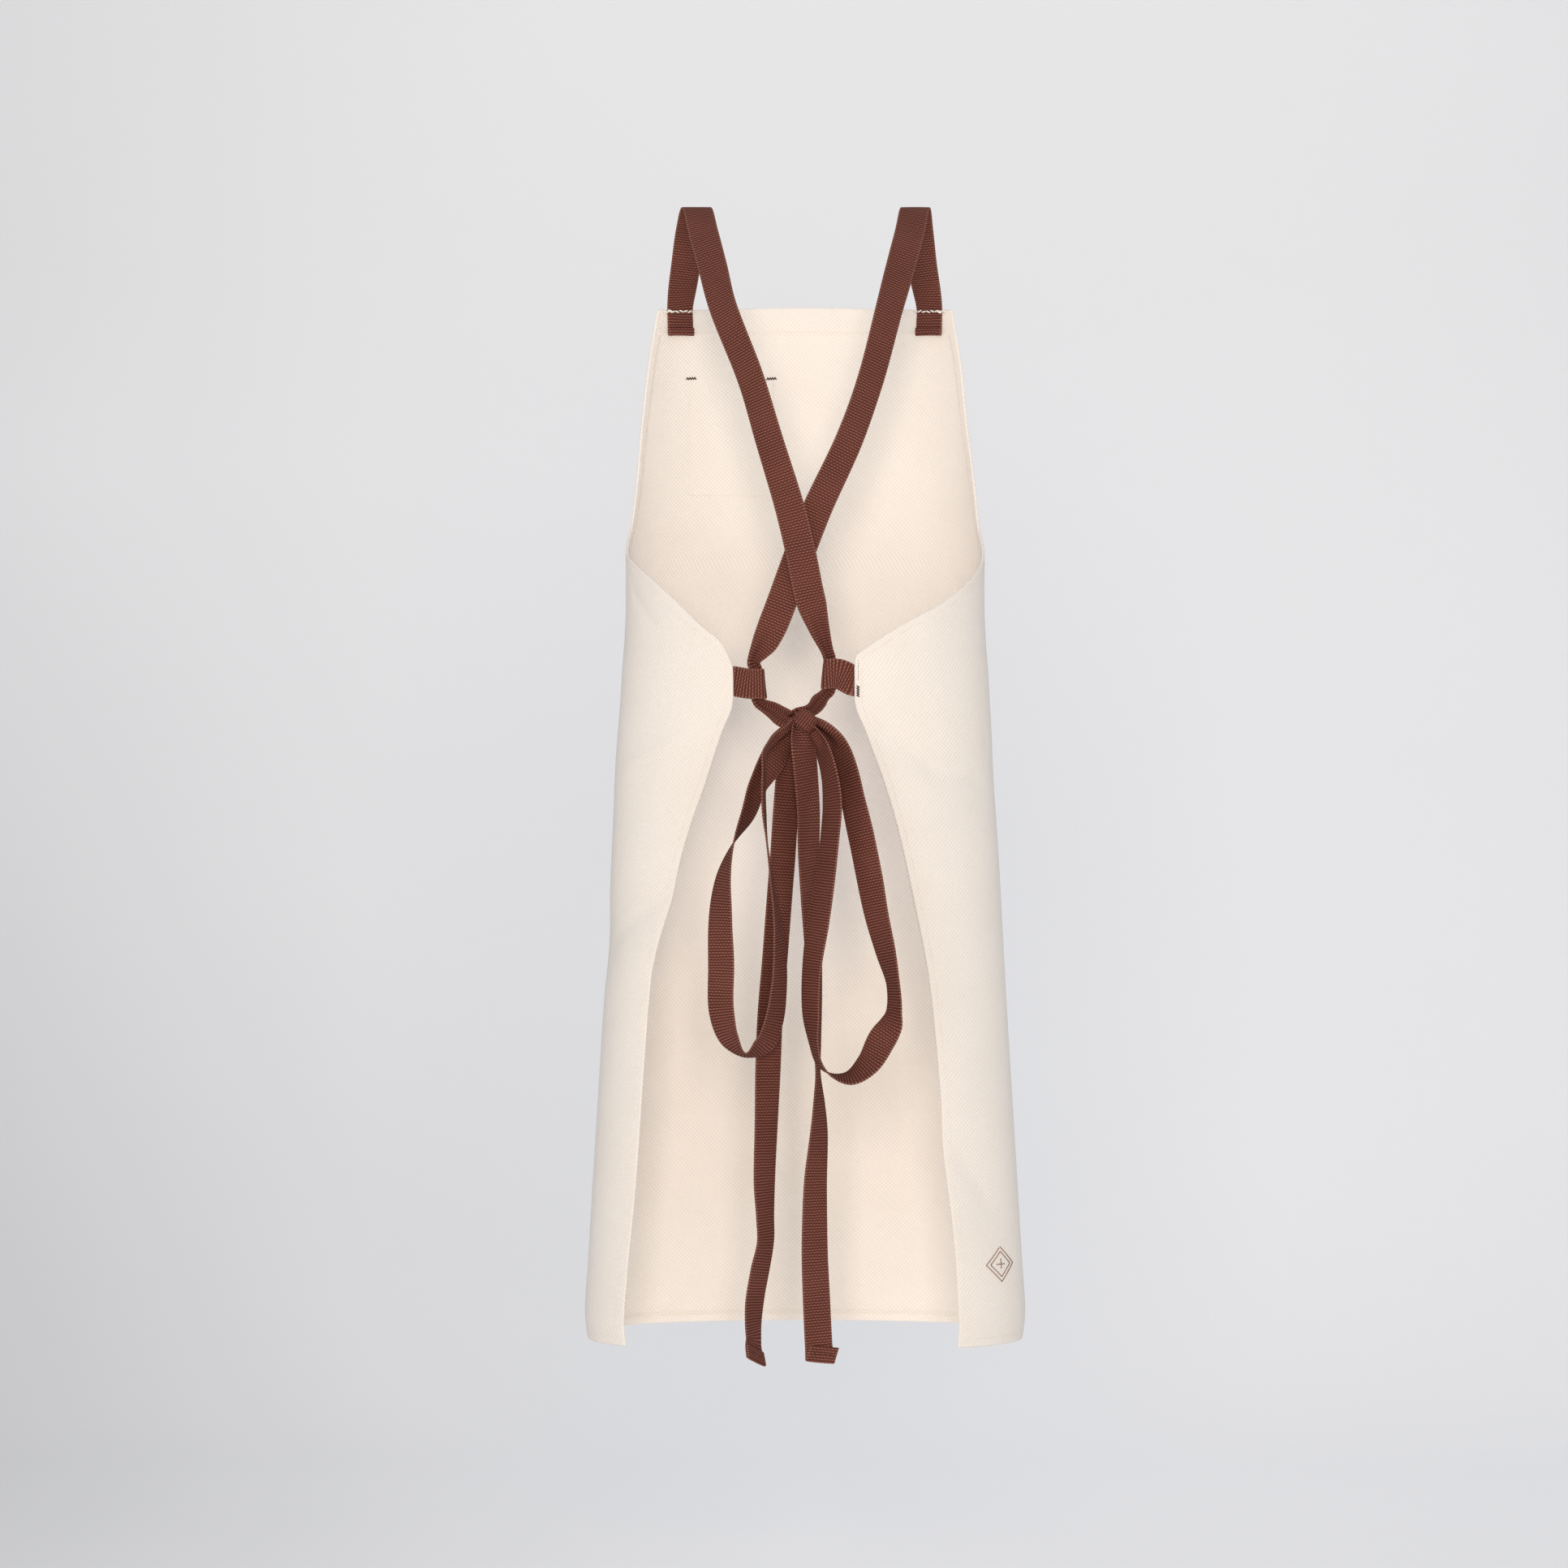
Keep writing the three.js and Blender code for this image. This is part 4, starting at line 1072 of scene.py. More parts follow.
@dataclass
class WebbingRun:
    """Flat webbing carried along a smooth curve, gathered into pleats where it is narrower."""

    width: float = WEBBING_WIDTH
    thickness: float = 1.4
    step: float = 1.7
    pleats: float = 1.25
    pleat_depth: float = 0.8
    hug: float = 0.0
    cup: float = 0.35
    cup_length: float = 37.0
    fold_clearance: float = 0.15
    fold_steps: int = 7

    def frames(self, stations: Stations) -> Frames:
        """Follow the curve.

        Args:
            stations: the places.

        Returns:
            The webbing laid out, about one frame a step.
        """
        points = stations.points
        gaps = np.linalg.norm(np.diff(points, axis=0), axis=1)
        counts = np.maximum(2, np.round(gaps / self.step)).astype(int)
        parts = [i + np.arange(n) / n for i, n in enumerate(counts)]
        places = np.concatenate([*parts, [len(points) - 1.0]])
        centre = curve_through(points, places)
        along = unit(np.gradient(centre, axis=0))
        index = np.arange(len(points), dtype=float)
        wide = read_column(np.stack([index, stations.wide], -1), 1, places)
        if stations.turn is not None:
            turn = read_column(np.stack([index, stations.turn], -1), 1, places)
            angle = np.radians(turn)[:, None]
            flat = unit(np.cross(along, np.array([0.0, 1.0, 0.0])))
            across = flat * np.cos(angle) + np.cross(flat, along) * np.sin(angle)
        else:
            table = np.concatenate([index[:, None], stations.line], 1)
            line = np.stack([read_column(table, k, places) for k in (1, 2, 3)], -1)
            across = unit(line - along * np.sum(line * along, -1, keepdims=True))
        return Frames(centre, across, np.cross(along, across), wide)

    def sway(self, run: np.ndarray, u: np.ndarray, phase: float) -> np.ndarray:
        """Give how far the webbing cups: cup * sin(run / cup length + phase) * (u^2 - 0.4).

        Args:
            run: lengths along the run.
            u: places across it, from -1 to 1.
            phase: the piece's own phase.

        Returns:
            The heights, in millimetres.
        """
        return self.cup * np.sin(run / self.cup_length + phase) * (u * u - 0.4)

    def shell(
        self, stations: Stations, folded_end: float = 0.0, phase: float = 0.0, slant: float = 0.0
    ) -> Shell:
        """Carry the section along the stations.

        Args:
            stations: the places.
            folded_end: length folded back on the viewer's side at the last station.
            phase: where the pleats start, in turns.
            slant: the turn of that fold out of square, in degrees.

        Returns:
            A closed strip. Its section is a flat line with rounded ends; where it is gathered to a
            share w it becomes a wave whose own length stays that of the flat webbing.
        """
        frames = self.frames(stations)
        if folded_end > 0:
            frames = self.fold_back(frames, folded_end, slant)
        centre, across, face = frames.centre, frames.across, frames.face
        edge = np.array([0, 0.02, 0.055, 0.11])
        u = np.concatenate([edge - 1, np.linspace(-0.8, 0.8, 15), 1 - edge[::-1]])
        half = self.width / 2
        share = np.clip(frames.wide, 0.2, 1.0)[:, None]
        gather = np.sqrt(4 * (1 / share - 1))
        amplitude = share * self.width / (2 * np.pi * self.pleats) * gather * self.pleat_depth
        wave = amplitude * np.sin(np.pi * self.pleats * (u + phase))
        run = np.concatenate([[0], np.cumsum(np.linalg.norm(np.diff(centre, axis=0), axis=1))])
        sway = self.sway(run[:, None], u, phase)
        hug_power = 2.2
        height = wave + sway + self.hug * np.abs(u) ** hug_power
        round_from, round_width, least = 0.945, 0.0552, 0.03
        past = np.clip(np.abs(u) - round_from, 0, 1) / round_width
        rounding = np.sqrt(np.clip(1 - past ** 2, least, 1))
        thick = self.thickness / 2 * rounding
        spread = (share * half * u)[..., None] * across[:, None]
        middle = centre[:, None] + spread
        top = middle + (height + thick)[..., None] * face[:, None]
        under = middle + (height - thick)[..., None] * face[:, None]
        flat = np.stack(np.broadcast_arrays(half * u[None, :], run[:, None]), -1)
        return Shell.between(top, under, flat)

    def fold_back(self, frames: Frames, length: float, slant: float = 0.0) -> Frames:
        """Turn the end over on the side that faces the viewer.

        With P the run's direction, L its width line and s the slant, the fold lies along
        L + tan(s) P, and the layer goes back along L sin(2s) - P cos(2s), its mirror image.

        Args:
            frames: the webbing laid out.
            length: the length that is folded back.
            slant: the turn of the fold out of square, in degrees.

        Returns:
            The same frames with a half circle and the returning layer added.
        """
        centre, across, face, wide = frames.centre, frames.across, frames.face, frames.wide
        gap = self.thickness + self.fold_clearance
        run = np.cumsum(np.linalg.norm(np.diff(centre[::-1], axis=0), axis=1))
        count = int(np.searchsorted(run, length))
        tilt = np.radians(slant)
        towards = face * np.where(face[:, 1:2] > 0, -1.0, 1.0)
        end, out = centre[-1], towards[-1]
        along = unit(centre[-1] - centre[-2])
        angle = np.linspace(0, np.pi, self.fold_steps + 1)[1:, None]
        bend = end + out * gap / 2 * (1 - np.cos(angle)) + along * gap / 2 * np.sin(angle)
        left = np.concatenate([[0.0], run])[::-1]
        skew = np.tan(tilt) * smooth_step(1 - left / length)
        across = across + skew[:, None] * along
        if slant == 0:
            layer = centre[::-1][1:count + 1] + towards[::-1][1:count + 1] * gap
            returning = across[::-1][1:count + 1]
        else:
            width = unit(np.cross(out, along))
            width *= np.sign(np.dot(width, across[-1]))
            mirrored = width * np.sin(2 * tilt) - along * np.cos(2 * tilt)
            layer = end + out * gap + run[:count, None] * mirrored
            returning = np.repeat(across[-1:], count, 0)
        path = np.concatenate([centre, bend, layer])
        line = np.concatenate([across, np.repeat(across[-1:], self.fold_steps, 0), returning])
        facing = np.cross(unit(np.gradient(path, axis=0)), line)
        share = np.concatenate([wide, np.full(self.fold_steps + count, wide[-1])])
        return Frames(path, line, unit(facing), share)


@dataclass(frozen=True)
class LoopPlace:
    """Where a side loop sits, in millimetres.

    It has the x of its fold and of the strap that passes, the slot's y and z, and two seats inside
    the wing for each of its layers.
    """

    fold_x: float
    pass_x: float
    y: float
    z: float
    front: list[np.ndarray]
    back: list[np.ndarray]


@dataclass(frozen=True)
class Rigging:
    """Where the side loops and the knot sit, from the same sizes as the solids."""

    form: CanvasForm
    webbing: WebbingRun
    clearance: float = 0.4
    loop_down: float = 0.372
    loop_length: float = 27.0
    loop_lead: float = 5.0
    gather: float = 0.42
    loop_rounding: float = 0.7
    left_rise: float = -2.0
    right_rise: float = 6.0
    knot_across: float = -3.8
    knot_deep: float = 1.03
    knot_drop: float = 33.0

    @property
    def loop_z(self) -> float:
        """The height of the side loops.

        Returns:
            The height, in millimetres.
        """
        return -(self.form.shoulder_drop + self.loop_down * self.form.apron_length)

    @property
    def knot(self) -> np.ndarray:
        """The middle of the knot.

        Returns:
            The point, in millimetres.
        """
        depth = self.knot_deep * self.form.back_depth
        return np.array([self.knot_across, -depth, self.loop_z - self.knot_drop])

    @property
    def gathered_width(self) -> float:
        """The width of the webbing where a loop gathers it.

        Returns:
            The width, in millimetres.
        """
        return self.webbing.width * self.gather

    @property
    def loop_half_depth(self) -> float:
        """Half the distance between the middles of a loop's two layers.

        Returns:
            Half the distance, in millimetres.
        """
        held = self.webbing.thickness / self.gather
        return (held + 2 * self.clearance + self.webbing.thickness) / 2

    @property
    def loop_bend(self) -> float:
        """How far in from the fold a loop's layers become parallel.

        Returns:
            The distance, in millimetres.
        """
        return self.webbing.thickness / 2 + self.loop_rounding * self.loop_half_depth

    def loop(self, side: int) -> LoopPlace:
        """Place the side loop of one wing.

        Args:
            side: -1 for the left wing, 1 for the right.

        Returns:
            The loop's place.
        """
        form, webbing = self.form, self.webbing
        down = np.array([self.loop_down])
        reach = float(form.reach(down, side)[0])
        edge = form.point(down, np.array([side * reach]))[0]
        fold_x = edge[0] - side * self.loop_length
        pass_x = fold_x + side * (self.loop_bend + self.clearance + self.gathered_width / 2)
        inward = reach - np.degrees(form.side_hem / np.linalg.norm(edge))

        def seat(turn: float, layer: int) -> np.ndarray:
            """Place an end of the loop inside the wing.

            Args:
                turn: the angle from the middle of the front, in degrees.
                layer: 0 for the layer next to the canvas, 1 for the one on top of it.

            Returns:
                The middle of the webbing there.
            """
            layers = layer * (webbing.thickness + self.clearance)
            gap = self.clearance + webbing.thickness / 2 + layers
            point = form.inside(self.loop_down, side * turn, gap)
            return np.array([point[0], point[1], edge[2]])

        slot = webbing.thickness / self.gather + 2 * self.clearance
        return LoopPlace(
            fold_x=fold_x,
            pass_x=pass_x,
            y=edge[1] + form.hem + slot / 2,
            z=edge[2] + (self.right_rise if side > 0 else self.left_rise),
            front=[seat(inward, 0), seat(reach, 0)],
            back=[seat(reach, 1), seat(inward, 1)],
        )


def dress_webbing(
    shell: Shell, name: str, node: str, finishes: Finishes
) -> bpy.types.Object:
    """Args:
        shell: the piece's surface.
        name: the piece's name.
        node: the solid that it stands for.
        finishes: the materials.

    Returns:
        The object.
    """
    piece = shell.make(name, finishes.webbing)
    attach(piece, "root")
    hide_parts(node)
    return piece


def run_length(points: np.ndarray) -> float:
    """Give the length of a smooth curve through points, in millimetres.

    Args:
        points: (n, 3) points.

    Returns:
        The length.
    """
    fine = curve_through(points, np.linspace(0, len(points) - 1, 12 * len(points)))
    return float(np.linalg.norm(np.diff(fine, axis=0), axis=1).sum())


@dataclass
class ShoulderStrap:
    """Webbing from the bib's top hem over a shoulder, across the back and through a side loop.

    Columns of the route: across as a share of the chest's half width, deep of the front or back
    depth, down of the height to the loops, the width share, and the angle in degrees by which the
    face is turned outwards. Columns of the finish: the place from the knot's middle in
    millimetres, and the width share. The four loop shifts move the strap towards the loop's fold.
    """

    form: CanvasForm
    rigging: Rigging
    finishes: Finishes
    side: int
    name: str
    node: str
    route: np.ndarray
    finish: np.ndarray
    stub_length: float = 22.0
    sewn_across: float = SEWN_ACROSS
    stub_splay: float = -0.02
    stub_fold: float = 6.0
    stub_phase: float = 0.3
    loop_shifts: tuple[float, float, float, float] = (0.0, 0.0, 1.7, 5.0)

    def stations(self) -> Stations:
        """List the stations: the sewn stub, the route, the gather in the loop, and the knot.

        Returns:
            The stations, from the stub to the knot.
        """
        form, rigging, side = self.form, self.rigging, self.side
        half = rigging.webbing.width / 2
        sag = rigging.webbing.width ** 2 / (8 * form.front_depth)
        gap = rigging.clearance + sag + rigging.webbing.thickness / 2
        points, lines, wide = [], [], []
        for drop in (self.stub_length, self.stub_length / 2, 0.0):
            down = drop / form.apron_length
            across = side * (self.sewn_across * form.chest_half_width + self.stub_splay * drop)
            turn = float(form.turn_for_across(np.array([down]), np.array([across]))[0])
            facing = form.normal(np.array([down]), np.array([turn]))[0]
            points.append(form.inside(down, turn, gap))
            lines.append(-np.cross([0, 0, 1], facing))
            wide.append(1.0)
        for across, deep, down, share, face in self.route:
            depth = form.front_depth if deep > 0 else form.back_depth
            x = across * form.chest_half_width
            points.append(np.array([x, deep * depth, down * rigging.loop_z]))
            lines.append(np.array([1.0, side * np.tan(np.radians(face)), 0.0]))
            wide.append(share)
        loop = rigging.loop(-side)
        lead = half + rigging.loop_lead
        for lift, shift in zip((lead, half, -half, -lead), self.loop_shifts):
            points.append(np.array([loop.pass_x + side * shift, loop.y, loop.z + lift]))
            lines.append(np.array([1.0, 0.0, 0.0]))
            wide.append(rigging.gather)
        ends = rigging.knot + self.finish[:, :3]
        path = np.concatenate([points[-1][None], ends])
        run = unit(np.gradient(path, axis=0)[1:] * [1, 0, 1])
        level = np.stack([-run[:, 2], run[:, 1], run[:, 0]], -1)
        return Stations(
            np.concatenate([points, ends]),
            np.concatenate([wide, self.finish[:, 3]]),
            line=np.concatenate([lines, level]),
        )

    def dress(self) -> bpy.types.Object:
        """Make the strap, from the knot to the stub, whose end is folded over.

        Returns:
            The object.
        """
        stations = self.stations()
        back = Stations(stations.points[::-1], stations.wide[::-1], line=stations.line[::-1])
        shell = self.rigging.webbing.shell(back, self.stub_fold, phase=self.stub_phase)
        return dress_webbing(shell, self.name, self.node, self.finishes)


@dataclass
class SideLoop:
    """Webbing folded round the gathered strap, with both ends sewn inside the wing's corner."""

    rigging: Rigging
    finishes: Finishes
    side: int
    lean: float = 0.1

    def stations(self) -> Stations:
        """List the stations from one seat round the strap, where it leans inwards, to the other.

        Returns:
            The stations.
        """
        rigging = self.rigging
        loop = rigging.loop(self.side)
        half, y, z = rigging.loop_half_depth, loop.y, loop.z
        fold = loop.fold_x + self.side * rigging.webbing.thickness / 2
        bend = loop.fold_x + self.side * rigging.loop_bend
        held = loop.pass_x + self.side * (rigging.gathered_width / 2 + rigging.clearance)
        front = [[held, y - half, z], [bend, y - half, z], [fold, y, z]]
        back = [[bend, y + half, z], [held, y + half, z]]
        points = np.array([*loop.front, *front, *back, *loop.back])
        lean = np.array([0, 0, 1, 1, 1, 1, 1, 0, 0]) * self.side * self.lean
        line = np.stack([lean, np.zeros(9), np.ones(9)], -1)
        return Stations(points, np.ones(len(points)), line=line)

    def dress(self) -> bpy.types.Object:
        """Make the loop.

        Returns:
            The object.
        """
        word = "left" if self.side < 0 else "right"
        name, node = f"loop_tab_{word}", f"side_loop_{word}"
        stations = self.stations()
        shell = self.rigging.webbing.shell(stations)
        return dress_webbing(shell, name, node, self.finishes)


@dataclass
class BowPiece:
    """A bow loop or a tail. Its route starts inside the knot.

    Columns of the route: across as a share of the bow's half spread, out of how far it stands out,
    down of the piece's own drop, the turn in degrees, and the width share.
    """

    rigging: Rigging
    finishes: Finishes
    name: str
    node: str
    drop: float
    route: np.ndarray
    folded_end: float = 0.0
    tab_stitches: int = 0
    tab_slant: float = 0.0
    phase: float = 0.0
    spread: float = 70.0
    stand: float = 20.0
    tab_row: int = 5
    tab_reach: float = 0.72

    def stations(self) -> Stations:
        """List the stations from the route's table.

        Returns:
            The stations.
        """
        across, out, down, turn, wide = self.route.T
        offset = np.stack([across * self.spread, -out * self.stand, -down * self.drop], -1)
        return Stations(self.rigging.knot + offset, wide, turn=turn)

    def dress(self) -> bpy.types.Object:
        """Make the piece.

        Returns:
            The object.
        """
        stations = self.stations()
        webbing = self.rigging.webbing
        shell = webbing.shell(stations, self.folded_end, self.phase, self.tab_slant)
        piece = dress_webbing(shell, self.name, self.node, self.finishes)
        if self.tab_stitches:
            self.sew_tab(stations)
        return piece

    def sew_tab(self, stations: Stations) -> None:
        """Sew the folded end down with a few stitches across the webbing.

        Args:
            stations: the piece's stations.
        """
        webbing = self.rigging.webbing
        frames = webbing.fold_back(webbing.frames(stations), self.folded_end, self.tab_slant)
        at = len(frames.centre) - self.tab_row
        middle, across, facing = frames.centre[at], frames.across[at], frames.face[at]
        out = facing * (-1.0 if facing[1] > 0 else 1.0)
        even = (np.arange(self.tab_stitches) + 0.5) / self.tab_stitches * 2 - 1
        share = even * self.tab_reach
        run = np.full(share.shape, run_length(frames.centre[:at + 1]))
        sway = webbing.sway(run, share, self.phase)
        centre = middle + out * webbing.thickness / 2 + facing * sway[:, None]
        centre += across * (share * webbing.width / 2)[:, None]
        kind = StitchKind(length=2.6, radius=0.38, rise=0.3)
        shape = (len(centre), 3)
        along, up = np.broadcast_to(unit(across), shape), np.broadcast_to(out, shape)
        row = kind.shell(centre, along, up)
        piece = row.make(f"{self.name}_stitches", self.finishes.brown_thread)
        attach(piece, "root")


@dataclass
class KnotWrap:
    """The turn of webbing round the bow: a spiral round a slanted axis, tucked in at both ends.

    The turns and the tilt are in degrees. Within tuck_turn of each end the oval shrinks to
    tuck_share of its size, and the webbing narrows from share to end_share round it.
    """

    rigging: Rigging
    finishes: Finishes
    half_length: float = 10.2
    half_depth: float = 9.0
    tilt: float = 36.0
    share: float = 0.7
    end_share: float = 0.58
    across: float = 3.6
    forward: float = 3.0
    first_turn: float = -75.0
    last_turn: float = 345.0
    count: int = 26
    tuck_turn: float = 80.0
    tuck_share: float = 0.62
    squareness: float = 0.8
    drift: float = 1.4
    phase: float = 0.45
    roll: WebbingRun = field(
        default_factory=lambda: WebbingRun(step=1.0, pleats=3.0, pleat_depth=0.75, hug=3.4)
    )

    def stations(self) -> Stations:
        """List the stations round an oval in the plane of the depth and the slanted run.

        Returns:
            The stations, each with the axis as its width line.
        """
        tilt = np.radians(self.tilt)
        run = np.array([np.cos(tilt), 0, -np.sin(tilt)])
        axis = np.array([np.sin(tilt), 0, np.cos(tilt)])
        angle = np.linspace(np.radians(self.first_turn), np.radians(self.last_turn), self.count)
        ends = np.minimum(angle - angle[0], angle[-1] - angle) / np.radians(self.tuck_turn)
        scale = self.tuck_share + (1 - self.tuck_share) * smooth_step(ends)
        cos, sin = np.cos(angle), np.sin(angle)
        x = np.sign(cos) * np.abs(cos) ** self.squareness * self.half_length * scale
        y = -np.sign(sin) * np.abs(sin) ** self.squareness * self.half_depth * scale
        drift = np.linspace(-self.drift, self.drift, self.count)
        points = self.rigging.knot + x[:, None] * run + drift[:, None] * axis
        shift = [np.full(self.count, self.across), y - self.forward, np.zeros(self.count)]
        points += np.stack(shift, -1)
        wide = self.end_share + (self.share - self.end_share) * sin ** 2
        return Stations(points, wide, line=np.tile(axis, (self.count, 1)))

    def dress(self) -> bpy.types.Object:
        """Make the wrap.

        Returns:
            The object.
        """
        stations = self.stations()
        shell = self.roll.shell(stations, phase=self.phase)
        return dress_webbing(shell, "knot_wrap", "bow_knot", self.finishes)


# Stitching


@dataclass(frozen=True)
class StitchKind:
    """One stitch: a short bowed thread whose ends dip into the cloth, in millimetres."""

    length: float = 2.5
    pitch: float = 3.2
    radius: float = 0.24
    rise: float = 0.22

    def shell(self, centre: np.ndarray, along: np.ndarray, normal: np.ndarray) -> Shell:
        """Make a stitch at every place.

        Args:
            centre: (n, 3) places on the cloth.
            along: (n, 3) unit directions of the thread.
            normal: (n, 3) unit directions out of the cloth.

        Returns:
            All the stitches as one shell: a round thread on the line height = rise * sin(pi t).
        """
        t = np.linspace(0, 1, 6)
        ring = np.linspace(0, 2 * np.pi, 7)[:-1]
        side = np.cross(along, normal)
        radius = self.radius * np.sqrt(np.clip(1 - (2 * t - 1) ** 4, 0.05, 1))
        lengthwise = (t - 0.5) * self.length
        height = self.rise * np.sin(np.pi * t)[:, None] + radius[:, None] * np.sin(ring)
        across = radius[:, None] * np.cos(ring)
        points = (
            centre[:, None, None]
            + along[:, None, None] * lengthwise[None, :, None, None]
            + normal[:, None, None] * height[None, :, :, None]
            + side[:, None, None] * across[None, :, :, None]
        )
        rings, sides = len(t), len(ring)
        at = np.arange(rings * sides).reshape(rings, sides)
        near, far = at[:-1], at[1:]
        body = np.stack([near, np.roll(near, -1, 1), np.roll(far, -1, 1), far], -1).reshape(-1, 4)
        start, stop = at[0], at[-1]
        caps = np.stack([start[[3, 2, 1, 0]], start[[5, 4, 3, 0]], stop[:4], stop[[0, 3, 4, 5]]])
        quads = np.concatenate([body, caps])
        every = quads[None] + np.arange(len(centre))[:, None, None] * rings * sides
        flat = np.stack(np.broadcast_arrays(ring[None, :] * self.radius, lengthwise[:, None]), -1)
        flats = np.tile(flat.reshape(-1, 2), (len(centre), 1))
        skin = np.ones(len(flats))
        return Shell(points.reshape(-1, 3), every.reshape(-1, 4), flats, skin).facing_out()

    def along_path(self, path: np.ndarray, normals: np.ndarray) -> Shell:
        """Space stitches along a path by length, each in line with it.

        Args:
            path: (n, 3) points of the line on the cloth.
            normals: (n, 3) unit directions out of the cloth.

        Returns:
            All the stitches as one shell.
        """
        run = np.concatenate([[0], np.cumsum(np.linalg.norm(np.diff(path, axis=0), axis=1))])
        at = np.arange(self.pitch / 2, run[-1], self.pitch)
        near = 0.6
        before = np.stack([np.interp(at - near, run, path[:, k]) for k in range(3)], -1)
        after = np.stack([np.interp(at + near, run, path[:, k]) for k in range(3)], -1)
        normal = unit(np.stack([np.interp(at, run, normals[:, k]) for k in range(3)], -1))
        along = after - before
        along = unit(along - normal * np.sum(along * normal, -1, keepdims=True))
        return self.shell((before + after) / 2, along, normal)


@dataclass(frozen=True)
class Motif:
    """Two nested diamonds and a small cross; angles in degrees, the height in millimetres."""

    down: float = 0.9235
    turn: float = 109.8
    half_height: float = 14.5
    half_turn: float = 5.4
    sizes: tuple[float, float] = (1.0, 0.72)
    arm: float = 0.34
    kind: StitchKind = StitchKind(length=2.1, pitch=2.2, radius=0.42, rise=0.3)


